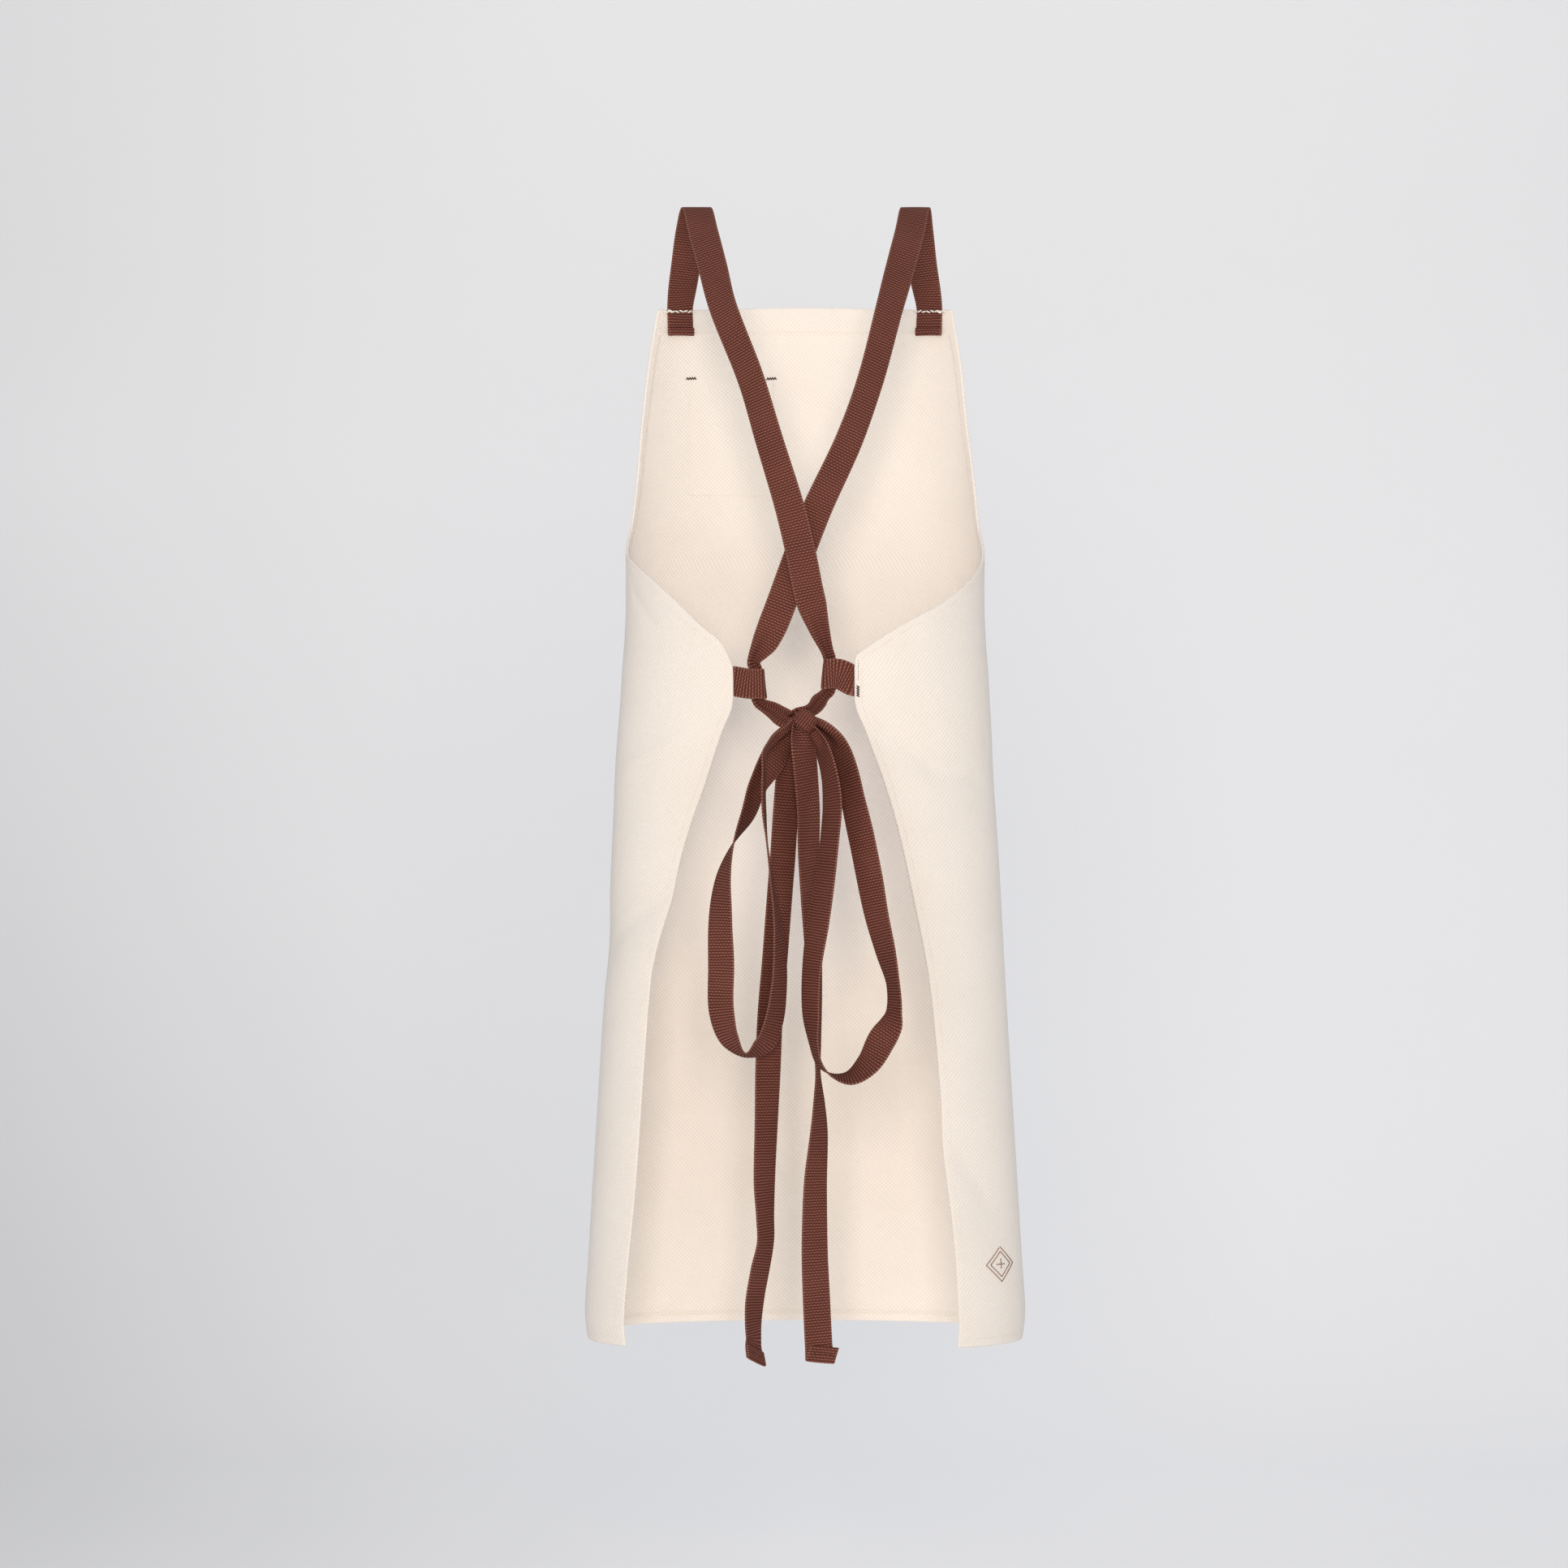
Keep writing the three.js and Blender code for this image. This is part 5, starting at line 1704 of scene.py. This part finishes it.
@dataclass
class Stitching:
    """Rows of stitches on the canvas, each on the outer and the inner face.

    The insets are from the edge of the cloth, in millimetres.
    """

    form: CanvasForm
    pocket: ChestPocket
    rigging: Rigging
    finishes: Finishes
    row: StitchKind = StitchKind()
    top_inset: float = 2.2
    bottom_inset: float = 2.0
    side_inset: float = 1.9
    end_turn: float = 3.5
    side_span: tuple[float, float] = (0.004, 0.992)
    side_samples: int = 900
    pocket_inset: float = 2.2
    mouth_inset: float = 2.0
    pocket_samples: int = 120

    def both_faces(self, down: np.ndarray, turn: np.ndarray, thick: float) -> Shell:
        """Stitch along a line of places, on the outer face and on the inner one.

        Args:
            down: shares of the length.
            turn: angles from the middle of the front, in degrees.
            thick: the cloth's thickness there, in millimetres.

        Returns:
            Both rows as one shell.
        """
        face, normal = self.form.point(down, turn), self.form.normal(down, turn)
        outer = self.row.along_path(face, normal)
        inner = self.row.along_path(face - normal * thick, -normal)
        return Shell.joined([outer, inner])

    def hems(self) -> Shell:
        """Stitch the top, bottom and both side hems.

        Returns:
            The rows as one shell.
        """
        form = self.form
        rows = []
        top = (form.top_hem - self.top_inset) / form.apron_length
        bottom = 1 - (form.bottom_hem - self.bottom_inset) / form.apron_length
        for down in (top, bottom):
            place = np.array([down])
            left, right = (side * float(form.reach(place, side)[0]) for side in (-1, 1))
            turn = np.linspace(left + self.end_turn, right - self.end_turn, form.samples)
            rows.append(self.both_faces(np.full(form.samples, down), turn, form.hem))
        down = np.linspace(*self.side_span, self.side_samples)
        for side in (-1, 1):
            slant = form.edge_slant(down, side)
            total = form.ring_length(down)
            inset = (form.side_hem - self.side_inset) * slant
            offset = inset if side < 0 else total - inset
            turn = form.ring_turns(down, offset[:, None])[:, 0]
            rows.append(self.both_faces(down, turn, form.hem))
        return Shell.joined(rows)

    def pocket_rows(self) -> Shell:
        """Stitch the pocket's sides, bottom and mouth, and the sides and bottom again inside the
        bib.

        Returns:
            The rows as one shell.
        """
        pocket, inset, count = self.pocket, self.pocket_inset, self.pocket_samples
        half, low = pocket.width / 2 - inset, pocket.height - inset
        side = np.linspace(1, low, count)
        lines = [
            (np.full(count, -half), side),
            (np.full(count, half), side),
            (np.linspace(-half, half, count), np.full(count, low)),
        ]
        rows = []
        for across, fall in lines:
            face, normal = pocket.place(across, fall)
            out = pocket.clearance + self.form.cloth
            rows.append(self.row.along_path(face + normal * out, normal))
            rows.append(self.row.along_path(face - normal * self.form.cloth, -normal))
        across = np.linspace(-half, half, count)
        fall = np.full(count, pocket.mouth_hem - self.mouth_inset)
        face, normal = pocket.place(across, fall)
        lift = pocket.gape * np.cos(np.pi * across / pocket.width) * (1 - fall / pocket.height) ** 2
        out = (pocket.clearance + self.form.hem + lift)[:, None]
        rows.append(self.row.along_path(face + normal * out, normal))
        return Shell.joined(rows)

    def bar(
        self, start: np.ndarray, end: np.ndarray, normal: np.ndarray, height: float, count: int
    ) -> Shell:
        """Make a zigzag bar of close stitches between two points.

        Args:
            start: one end.
            end: the other end.
            normal: the unit direction out of the cloth.
            height: the length of a stitch, in millimetres.
            count: how many stitches.

        Returns:
            The bar as one shell.
        """
        share = (np.arange(count) + 0.5) / count
        centre = start + (end - start) * share[:, None]
        run = unit(end - start)
        up = np.cross(normal, run)
        zigzag = 0.6
        slope = np.where(np.arange(count) % 2 == 0, zigzag, -zigzag)[:, None]
        along = unit(up + run * slope)
        kind = StitchKind(length=height, pitch=1.0, radius=0.5, rise=0.3)
        return kind.shell(centre, along, np.tile(normal, (count, 1)))

    def bars(self) -> Shell:
        """Make the pocket's two corner bars on both faces, and the loop's bar on the right wing.

        Returns:
            The bars as one shell.
        """
        form, pocket, parts = self.form, self.pocket, []
        corner_inset, half_bar, falls = 4.0, 4.2, np.array([2.6, 2.2])
        for across in (-pocket.width / 2 + corner_inset, pocket.width / 2 - corner_inset):
            reach = np.array([across - half_bar, across + half_bar])
            face, normal = pocket.place(reach, falls)
            inner = face - normal * (form.cloth + 0.05)
            parts.append(self.bar(inner[0], inner[1], -normal[0], height=3.0, count=8))
            outer = face + normal * (pocket.clearance + form.hem + 0.1)
            parts.append(self.bar(outer[0], outer[1], normal[0], height=3.0, count=8))
        bar_ends, bar_turn = np.array([0.3765, 0.3865]), 1.5
        turn = form.reach(bar_ends, 1) - bar_turn
        face, normal = form.point(bar_ends, turn), form.normal(bar_ends, turn)
        parts.append(self.bar(face[0], face[1], normal[0], height=3.4, count=9))
        row_places, row_turn = np.linspace(0.352, 0.373, 12), 1.6
        turn = form.reach(row_places, 1) - row_turn
        fine = StitchKind(length=1.3, pitch=2.2, radius=0.2, rise=0.15)
        face, normal = form.point(row_places, turn), form.normal(row_places, turn)
        parts.append(fine.along_path(face, normal))
        return Shell.joined(parts)

    def strap_rows(self) -> Shell:
        """Stitch each strap down across its width at the bib's top edge, in thick white thread.

        Returns:
            The rows as one shell.
        """
        form, parts = self.form, []
        strap = self.rigging.webbing
        gap = self.rigging.clearance + strap.width ** 2 / (8 * form.front_depth) + strap.thickness
        half_row, samples, fall, above = 14.5, 60, 1.9, 0.2
        edge, ease = 13.6, 1.6
        wobble, wobble_rate = 0.45, 1.3
        plain = StitchKind(length=4.6, pitch=4.4, radius=0.75, rise=0.5)
        knotted, knotted_samples = StitchKind(length=6.0, pitch=5.5, radius=1.15, rise=0.4), 14
        for side in (-1, 1):
            middle = side * SEWN_ACROSS * form.chest_half_width
            across = middle + side * np.linspace(half_row, -half_row, samples)
            down = np.full(samples, fall / form.apron_length)
            turn = form.turn_for_across(down, across)
            normal = -form.normal(down, turn)
            over = smooth_step((edge - np.abs(across - middle)) / ease)
            path = form.point(down, turn) + normal * (form.hem + gap * over + above)[:, None]
            path[:, 2] += wobble * np.sin(across * wobble_rate)
            parts.append(plain.along_path(path, normal))
            parts.append(knotted.along_path(path[:knotted_samples], normal[:knotted_samples]))
        return Shell.joined(parts)

    def motif(self) -> Shell:
        """Sew two nested diamonds and a small cross low on the right wing.

        Returns:
            The motif as one shell.
        """
        form, motif, parts = self.form, Motif(), []

        def sew(u: np.ndarray, v: np.ndarray) -> None:
            """Stitch along a line on the canvas.

            Args:
                u: places across the motif, from -1 to 1, in shares of its half width.
                v: places down it, in shares of its half height.
            """
            down = motif.down + v * motif.half_height / form.apron_length
            turn = motif.turn - motif.half_turn * u
            parts.append(motif.kind.along_path(form.point(down, turn), form.normal(down, turn)))

        share = np.linspace(0, 4, 121)
        corner_u = np.interp(share, [0, 1, 2, 3, 4], [0, 1, 0, -1, 0])
        corner_v = np.interp(share, [0, 1, 2, 3, 4], [-1, 0, 1, 0, -1])
        for size in motif.sizes:
            sew(size * corner_u, size * corner_v)
        arm = np.linspace(-motif.arm, motif.arm, 30)
        sew(arm, 0 * arm)
        sew(0 * arm, arm)
        return Shell.joined(parts)

    def dress(self) -> list[bpy.types.Object]:
        """Make the stitching pieces.

        Returns:
            The objects.
        """
        pieces = [
            self.motif().make("motif_stitches", self.finishes.tan_thread),
            self.strap_rows().make("strap_stitches", self.finishes.white_thread),
            self.hems().make("hem_stitches", self.finishes.pale_thread),
            self.pocket_rows().make("pocket_stitches", self.finishes.pale_thread),
            self.bars().make("bar_tacks", self.finishes.brown_thread),
        ]
        for piece in pieces:
            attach(piece, "root")
        return pieces


# Studio


@dataclass(frozen=True)
class Lamp:
    """A square soft light: its place and the length of its side in metres, its power in watts."""

    name: str
    at: tuple[float, float, float]
    size: float
    power: float
    colour: str = "#fffaf5"


@dataclass(frozen=True)
class Studio:
    """A plain pale sweep, soft lights, and the camera at the picture's viewing angle, in metres."""

    distance: float = 4.0
    aim_x: float = -0.01794
    aim_z: float = -0.4913
    frame_width: float = 1.333
    sensor: float = 36.0
    floor_z: float = -1.3
    wall_y: float = 3.2
    wall_top: float = 5.0
    floor_start: float = -6.0
    sweep_half_width: float = 6.0
    sweep_radius: float = 1.6
    far_clip: float = 50.0
    air_colour: str = "#f1f6ff"
    air_strength: float = 0.63
    inner_colour: str = "#dfeaff"
    inner_size: tuple[float, float] = (0.1, 0.24)
    inner_power: float = 0.07
    inner_at: tuple[float, float, float] = (-0.003, -0.035, -0.53)
    lamps: tuple[Lamp, ...] = (
        Lamp("key_front", (-0.05, -4.15, 0.0), 1.2, 85.0, "#ffefdd"),
        Lamp("fill_left", (-2.6, -2.4, -0.5), 1.4, 15.0),
        Lamp("fill_right", (2.6, -2.4, -0.5), 1.4, 6.0),
        Lamp("back_soft", (0.0, 2.0, 2.2), 2.2, 20.0),
    )

    def camera(self) -> None:
        """Put the camera straight behind the wearer, level, with the lens for the frame width."""
        data = bpy.data.cameras.new("camera")
        data.sensor_width = self.sensor
        data.lens = self.sensor * self.distance / self.frame_width
        data.clip_end = self.far_clip
        camera = bpy.data.objects.new("camera", data)
        camera.location = (self.aim_x, -self.distance, self.aim_z)
        camera.rotation_euler = (np.pi / 2, 0, 0)
        bpy.context.scene.collection.objects.link(camera)
        bpy.context.scene.camera = camera

    def sweep(self) -> None:
        """Make the floor and wall as one sheet bent through a quarter circle between them."""
        radius = self.sweep_radius
        flat = np.linspace(self.floor_start, self.wall_y - radius, 12)
        bend = np.linspace(0, np.pi / 2, 24)[1:]
        up = np.linspace(self.floor_z + radius, self.wall_top, 10)[1:]
        floor, wall = np.full(len(flat), self.floor_z), np.full(len(up), self.wall_y)
        y = np.concatenate([flat, flat[-1] + radius * np.sin(bend), wall])
        z = np.concatenate([floor, self.floor_z + radius * (1 - np.cos(bend)), up])
        x = np.linspace(-self.sweep_half_width, self.sweep_half_width, 13)
        top = np.stack(np.broadcast_arrays(x[None, :], y[:, None], z[:, None]), -1) / MM
        at = np.arange(top.shape[0] * top.shape[1]).reshape(top.shape[:2])
        quads = np.stack([at[:-1, :-1], at[:-1, 1:], at[1:, 1:], at[1:, :-1]], -1).reshape(-1, 4)
        sheet = Shell(top.reshape(-1, 3), quads, top[..., :2].reshape(-1, 2), np.ones(at.size))
        sheet.make("studio_sweep", StudioPaper().build())

    def light(self, lamp: Lamp) -> None:
        """Add a square soft light aimed at the apron's middle.

        Args:
            lamp: the light.
        """
        data = bpy.data.lights.new(lamp.name, "AREA")
        data.color = linear(lamp.colour)[:3]
        data.size = lamp.size
        data.energy = lamp.power
        piece = bpy.data.objects.new(lamp.name, data)
        away = unit(np.array(lamp.at) - np.array([self.aim_x, 0.0, self.aim_z]))
        tilt = np.arccos(np.clip(away[2], -1, 1))
        piece.location = lamp.at
        piece.rotation_euler = (0, tilt, np.arctan2(away[1], away[0]))
        bpy.context.scene.collection.objects.link(piece)

    def inner_fill(self) -> None:
        """Add a weak tall light in the hollow that faces the inside of the bib."""
        data = bpy.data.lights.new("inner_fill", "AREA")
        data.shape = "RECTANGLE"
        data.size, data.size_y = self.inner_size
        data.energy = self.inner_power
        data.color = linear(self.inner_colour)[:3]
        piece = bpy.data.objects.new("inner_fill", data)
        piece.location = self.inner_at
        piece.rotation_euler = (np.pi / 2, 0, 0)
        piece.visible_camera = False
        bpy.context.scene.collection.objects.link(piece)

    def build(self) -> None:
        """Build the camera, the sweep and the lights."""
        self.camera()
        self.sweep()
        for lamp in self.lamps:
            self.light(lamp)
        self.inner_fill()
        world = bpy.data.worlds.new("studio_air")
        world.use_nodes = True
        background = world.node_tree.nodes["Background"]
        background.inputs[0].default_value = linear(self.air_colour)
        background.inputs[1].default_value = self.air_strength
        bpy.context.scene.world = world
        bpy.context.scene.view_settings.view_transform = "Standard"


# Tables of the webbing's routes

LEFT_STRAP_ROUTE = np.array([
    [-0.676, 0.47, 0.117, 1, 0],
    [-0.646, 0.28, 0.046, 1, 0],
    [-0.608, 0.0, 0.004, 1, 0],
    [-0.564, -0.3, 0.066, 1, 10],
    [-0.51, -0.51, 0.144, 1, 20],
    [-0.455, -0.7, 0.226, 1, 28],
    [-0.302, -0.9, 0.378, 1, 30],
    [-0.2, -0.98, 0.506, 1, 24],
    [-0.085, -1.03, 0.648, 1, 12],
    [-0.025, -1.05, 0.741, 1, 0],
    [0.024, -1.04, 0.83, 1, 0],
    [0.075, -0.97, 0.893, 0.7, 0],
])
RIGHT_STRAP_ROUTE = np.array([
    [0.667, 0.47, 0.117, 1, 0],
    [0.641, 0.28, 0.046, 1, 0],
    [0.617, 0.0, 0.004, 1, 0],
    [0.578, -0.3, 0.066, 1, 10],
    [0.523, -0.51, 0.144, 1, 20],
    [0.464, -0.7, 0.226, 1, 28],
    [0.353, -0.88, 0.385, 1, 30],
    [0.241, -0.94, 0.504, 1, 24],
    [0.064, -0.97, 0.647, 1, 12],
    [-0.034, -0.985, 0.74, 1, 0],
    [-0.16, -0.98, 0.868, 1, 0],
    [-0.215, -0.95, 0.915, 0.9, 0],
])
LEFT_FINISH = np.array([
    [-23.0, 9.0, 8.4, 0.57],
    [-14.5, 3.5, 2.6, 0.67],
    [-7.5, 2.0, 0.0, 0.62],
    [0.5, 3.0, -1.5, 0.45],
])
RIGHT_FINISH = np.array([
    [14.4, 8.0, 15.6, 0.54],
    [9.6, 3.0, 9.8, 0.48],
    [3.6, -1.5, 7.4, 0.4],
    [-3.0, -2.5, 6.6, 0.34],
    [-8.5, 1.0, 3.0, 0.3],
])
LEFT_BOW_ROUTE = np.array([
    [-0.05, -0.1, 0.0, -150, 0.55],
    [-0.16, -0.05, 0.032, -150, 0.7],
    [-0.25, 0.12, 0.07, -150, 0.95],
    [-0.346, 0.4, 0.12, -150, 1],
    [-0.509, 0.7, 0.192, -128, 1],
    [-0.623, 0.95, 0.274, -118, 1],
    [-0.795, 1.05, 0.36, -90, 1],
    [-0.915, 1.05, 0.46, -62, 1],
    [-0.953, 1.05, 0.58, -40, 1],
    [-0.943, 1.05, 0.723, -30, 1],
    [-0.939, 1.05, 0.855, -33, 1],
    [-0.843, 1.05, 0.939, -50, 1],
    [-0.652, 1.05, 0.986, -80, 1],
    [-0.441, 1.1, 0.955, -50, 1],
    [-0.326, 1.1, 0.89, -52, 1],
    [-0.259, 1.15, 0.783, -60, 1],
    [-0.25, 1.2, 0.699, -66, 1],
    [-0.288, 1.3, 0.58, -79, 1],
    [-0.355, 1.5, 0.46, -86, 1],
    [-0.4, 1.75, 0.364, -90, 1],
    [-0.44, 1.85, 0.26, -84, 1],
    [-0.44, 1.5, 0.16, -84, 1],
    [-0.42, 1.05, 0.1, -84, 0.95],
    [-0.3, 0.5, 0.055, -84, 0.75],
    [-0.16, 0.15, 0.025, -86, 0.6],
    [-0.05, 0.0, 0.0, -86, 0.55],
])
RIGHT_BOW_ROUTE = np.array([
    [0.03, 0.1, 0.0, -60, 0.55],
    [0.15, 0.2, 0.035, -60, 0.75],
    [0.26, 0.55, 0.085, -60, 1],
    [0.335, 0.9, 0.15, -58, 1],
    [0.368, 1.05, 0.229, -52, 1],
    [0.334, 1.15, 0.329, -53, 1],
    [0.276, 1.2, 0.441, -50, 1],
    [0.2, 1.25, 0.552, -44, 1],
    [0.123, 1.25, 0.688, -53, 1],
    [0.114, 1.25, 0.8, -57, 1],
    [0.152, 1.2, 0.891, -74, 1],
    [0.219, 1.15, 0.945, -80, 1],
    [0.362, 1.1, 0.976, -92, 1],
    [0.573, 1.05, 0.983, -114, 1],
    [0.793, 1.05, 0.943, -139, 1],
    [0.946, 1.05, 0.88, -156, 1],
    [1.061, 1.05, 0.836, -138, 1],
    [1.099, 1.05, 0.798, -118, 1],
    [1.089, 1.05, 0.731, -114, 1],
    [0.994, 1.05, 0.635, -130, 1],
    [0.889, 1.0, 0.537, -141, 1],
    [0.803, 0.9, 0.43, -149, 1],
    [0.708, 0.75, 0.318, -149, 1],
    [0.613, 0.6, 0.218, -142, 1],
    [0.547, 0.45, 0.139, -135, 1],
    [0.442, 0.25, 0.076, -135, 1],
    [0.3, 0.08, 0.036, -138, 0.85],
    [0.16, -0.1, 0.012, -140, 0.65],
    [0.03, -0.1, 0.0, -140, 0.55],
])
LEFT_TAIL_ROUTE = np.array([
    [0.0, -0.1, 0.0, 25, 0.55],
    [-0.06, -0.25, 0.025, 25, 0.7],
    [-0.13, -0.4, 0.06, 28, 0.95],
    [-0.183, -0.3, 0.141, 33, 1],
    [-0.216, -0.25, 0.21, 33, 1],
    [-0.25, -0.25, 0.267, 33, 1],
    [-0.308, -0.25, 0.367, 33, 1],
    [-0.366, -0.25, 0.455, 33, 1],
    [-0.39, -0.25, 0.527, 33, 1],
    [-0.414, -0.25, 0.627, 41, 1],
    [-0.433, -0.25, 0.713, 46, 1],
    [-0.423, -0.25, 0.77, 55, 1],
    [-0.419, -0.25, 0.806, 57, 1],
    [-0.486, -0.25, 0.851, 52, 1],
    [-0.549, -0.25, 0.897, 53, 1],
    [-0.568, -0.25, 0.931, 58, 1],
    [-0.564, -0.25, 0.96, 62, 1],
    [-0.562, -0.13, 0.97, 60, 1],
    [-0.54, 0.22, 0.99, 58, 1],
])
RIGHT_TAIL_ROUTE = np.array([
    [0.0, 0.15, 0.0, 30, 0.6],
    [0.01, 0.28, 0.02, 32, 0.88],
    [0.03, 0.45, 0.045, 35, 1],
    [0.06, 0.32, 0.09, 38, 1],
    [0.086, 0.1, 0.141, 41, 1],
    [0.091, 0.0, 0.203, 45, 1],
    [0.116, -0.2, 0.266, 48, 1],
    [0.145, -0.3, 0.342, 55, 1],
    [0.174, -0.35, 0.43, 66, 1],
    [0.193, -0.35, 0.506, 78, 1],
    [0.198, -0.35, 0.543, 82, 1],
    [0.212, -0.3, 0.594, 68, 1],
    [0.212, -0.3, 0.638, 55, 1],
    [0.174, -0.3, 0.712, 41, 1],
    [0.164, -0.3, 0.77, 34, 1],
    [0.164, -0.3, 0.83, 29, 1],
    [0.183, -0.3, 0.897, 25, 1],
    [0.207, -0.3, 0.965, 24, 1],
    [0.222, -0.3, 0.992, 18, 1],
])


def main() -> None:
    """Build the studio and every piece of the apron."""
    logging.basicConfig(level=logging.INFO, format="%(name)s %(message)s")
    Studio().build()
    finishes = Finishes.build()
    form = CanvasForm()
    webbing = WebbingRun()
    rigging = Rigging(form, webbing)
    panel_piece = ApronPanel(form, finishes).dress()
    pocket = ChestPocket(form, finishes)
    pocket.dress()
    straps = (
        (-1, LEFT_STRAP_ROUTE, RIGHT_FINISH, (3.4, 2.0, 2.0, 6.0)),
        (1, RIGHT_STRAP_ROUTE, LEFT_FINISH, (-2.0, 0.0, 1.6, 5.0)),
    )
    for side, route, finish, shifts in straps:
        word = "left" if side < 0 else "right"
        name, node = f"strap_{word}", f"shoulder_strap_{word}"
        ShoulderStrap(
            form, rigging, finishes, side, name, node, route, finish, loop_shifts=shifts
        ).dress()
        SideLoop(rigging, finishes, side).dress()
    KnotWrap(rigging, finishes).dress()
    left_tab = {"folded_end": 12.0, "tab_stitches": 2}
    right_tab = {"folded_end": 13.0, "tab_stitches": 4, "tab_slant": 11.0}
    bow = (
        ("bow_left", "bow_loop_left", LEFT_BOW_DROP, LEFT_BOW_ROUTE, {"phase": 0.2}),
        ("bow_right", "bow_loop_right", RIGHT_BOW_DROP, RIGHT_BOW_ROUTE, {"phase": 0.7}),
        ("tail_left", "tie_tail_left", TAIL_DROP, LEFT_TAIL_ROUTE, left_tab),
        ("tail_right", "tie_tail_right", TAIL_DROP, RIGHT_TAIL_ROUTE, right_tab),
    )
    for name, node, drop, route, extra in bow:
        BowPiece(rigging, finishes, name, node, drop, route, **extra).dress()
    stitches = Stitching(form, pocket, rigging, finishes).dress()


if __name__ == "__main__":
    main()
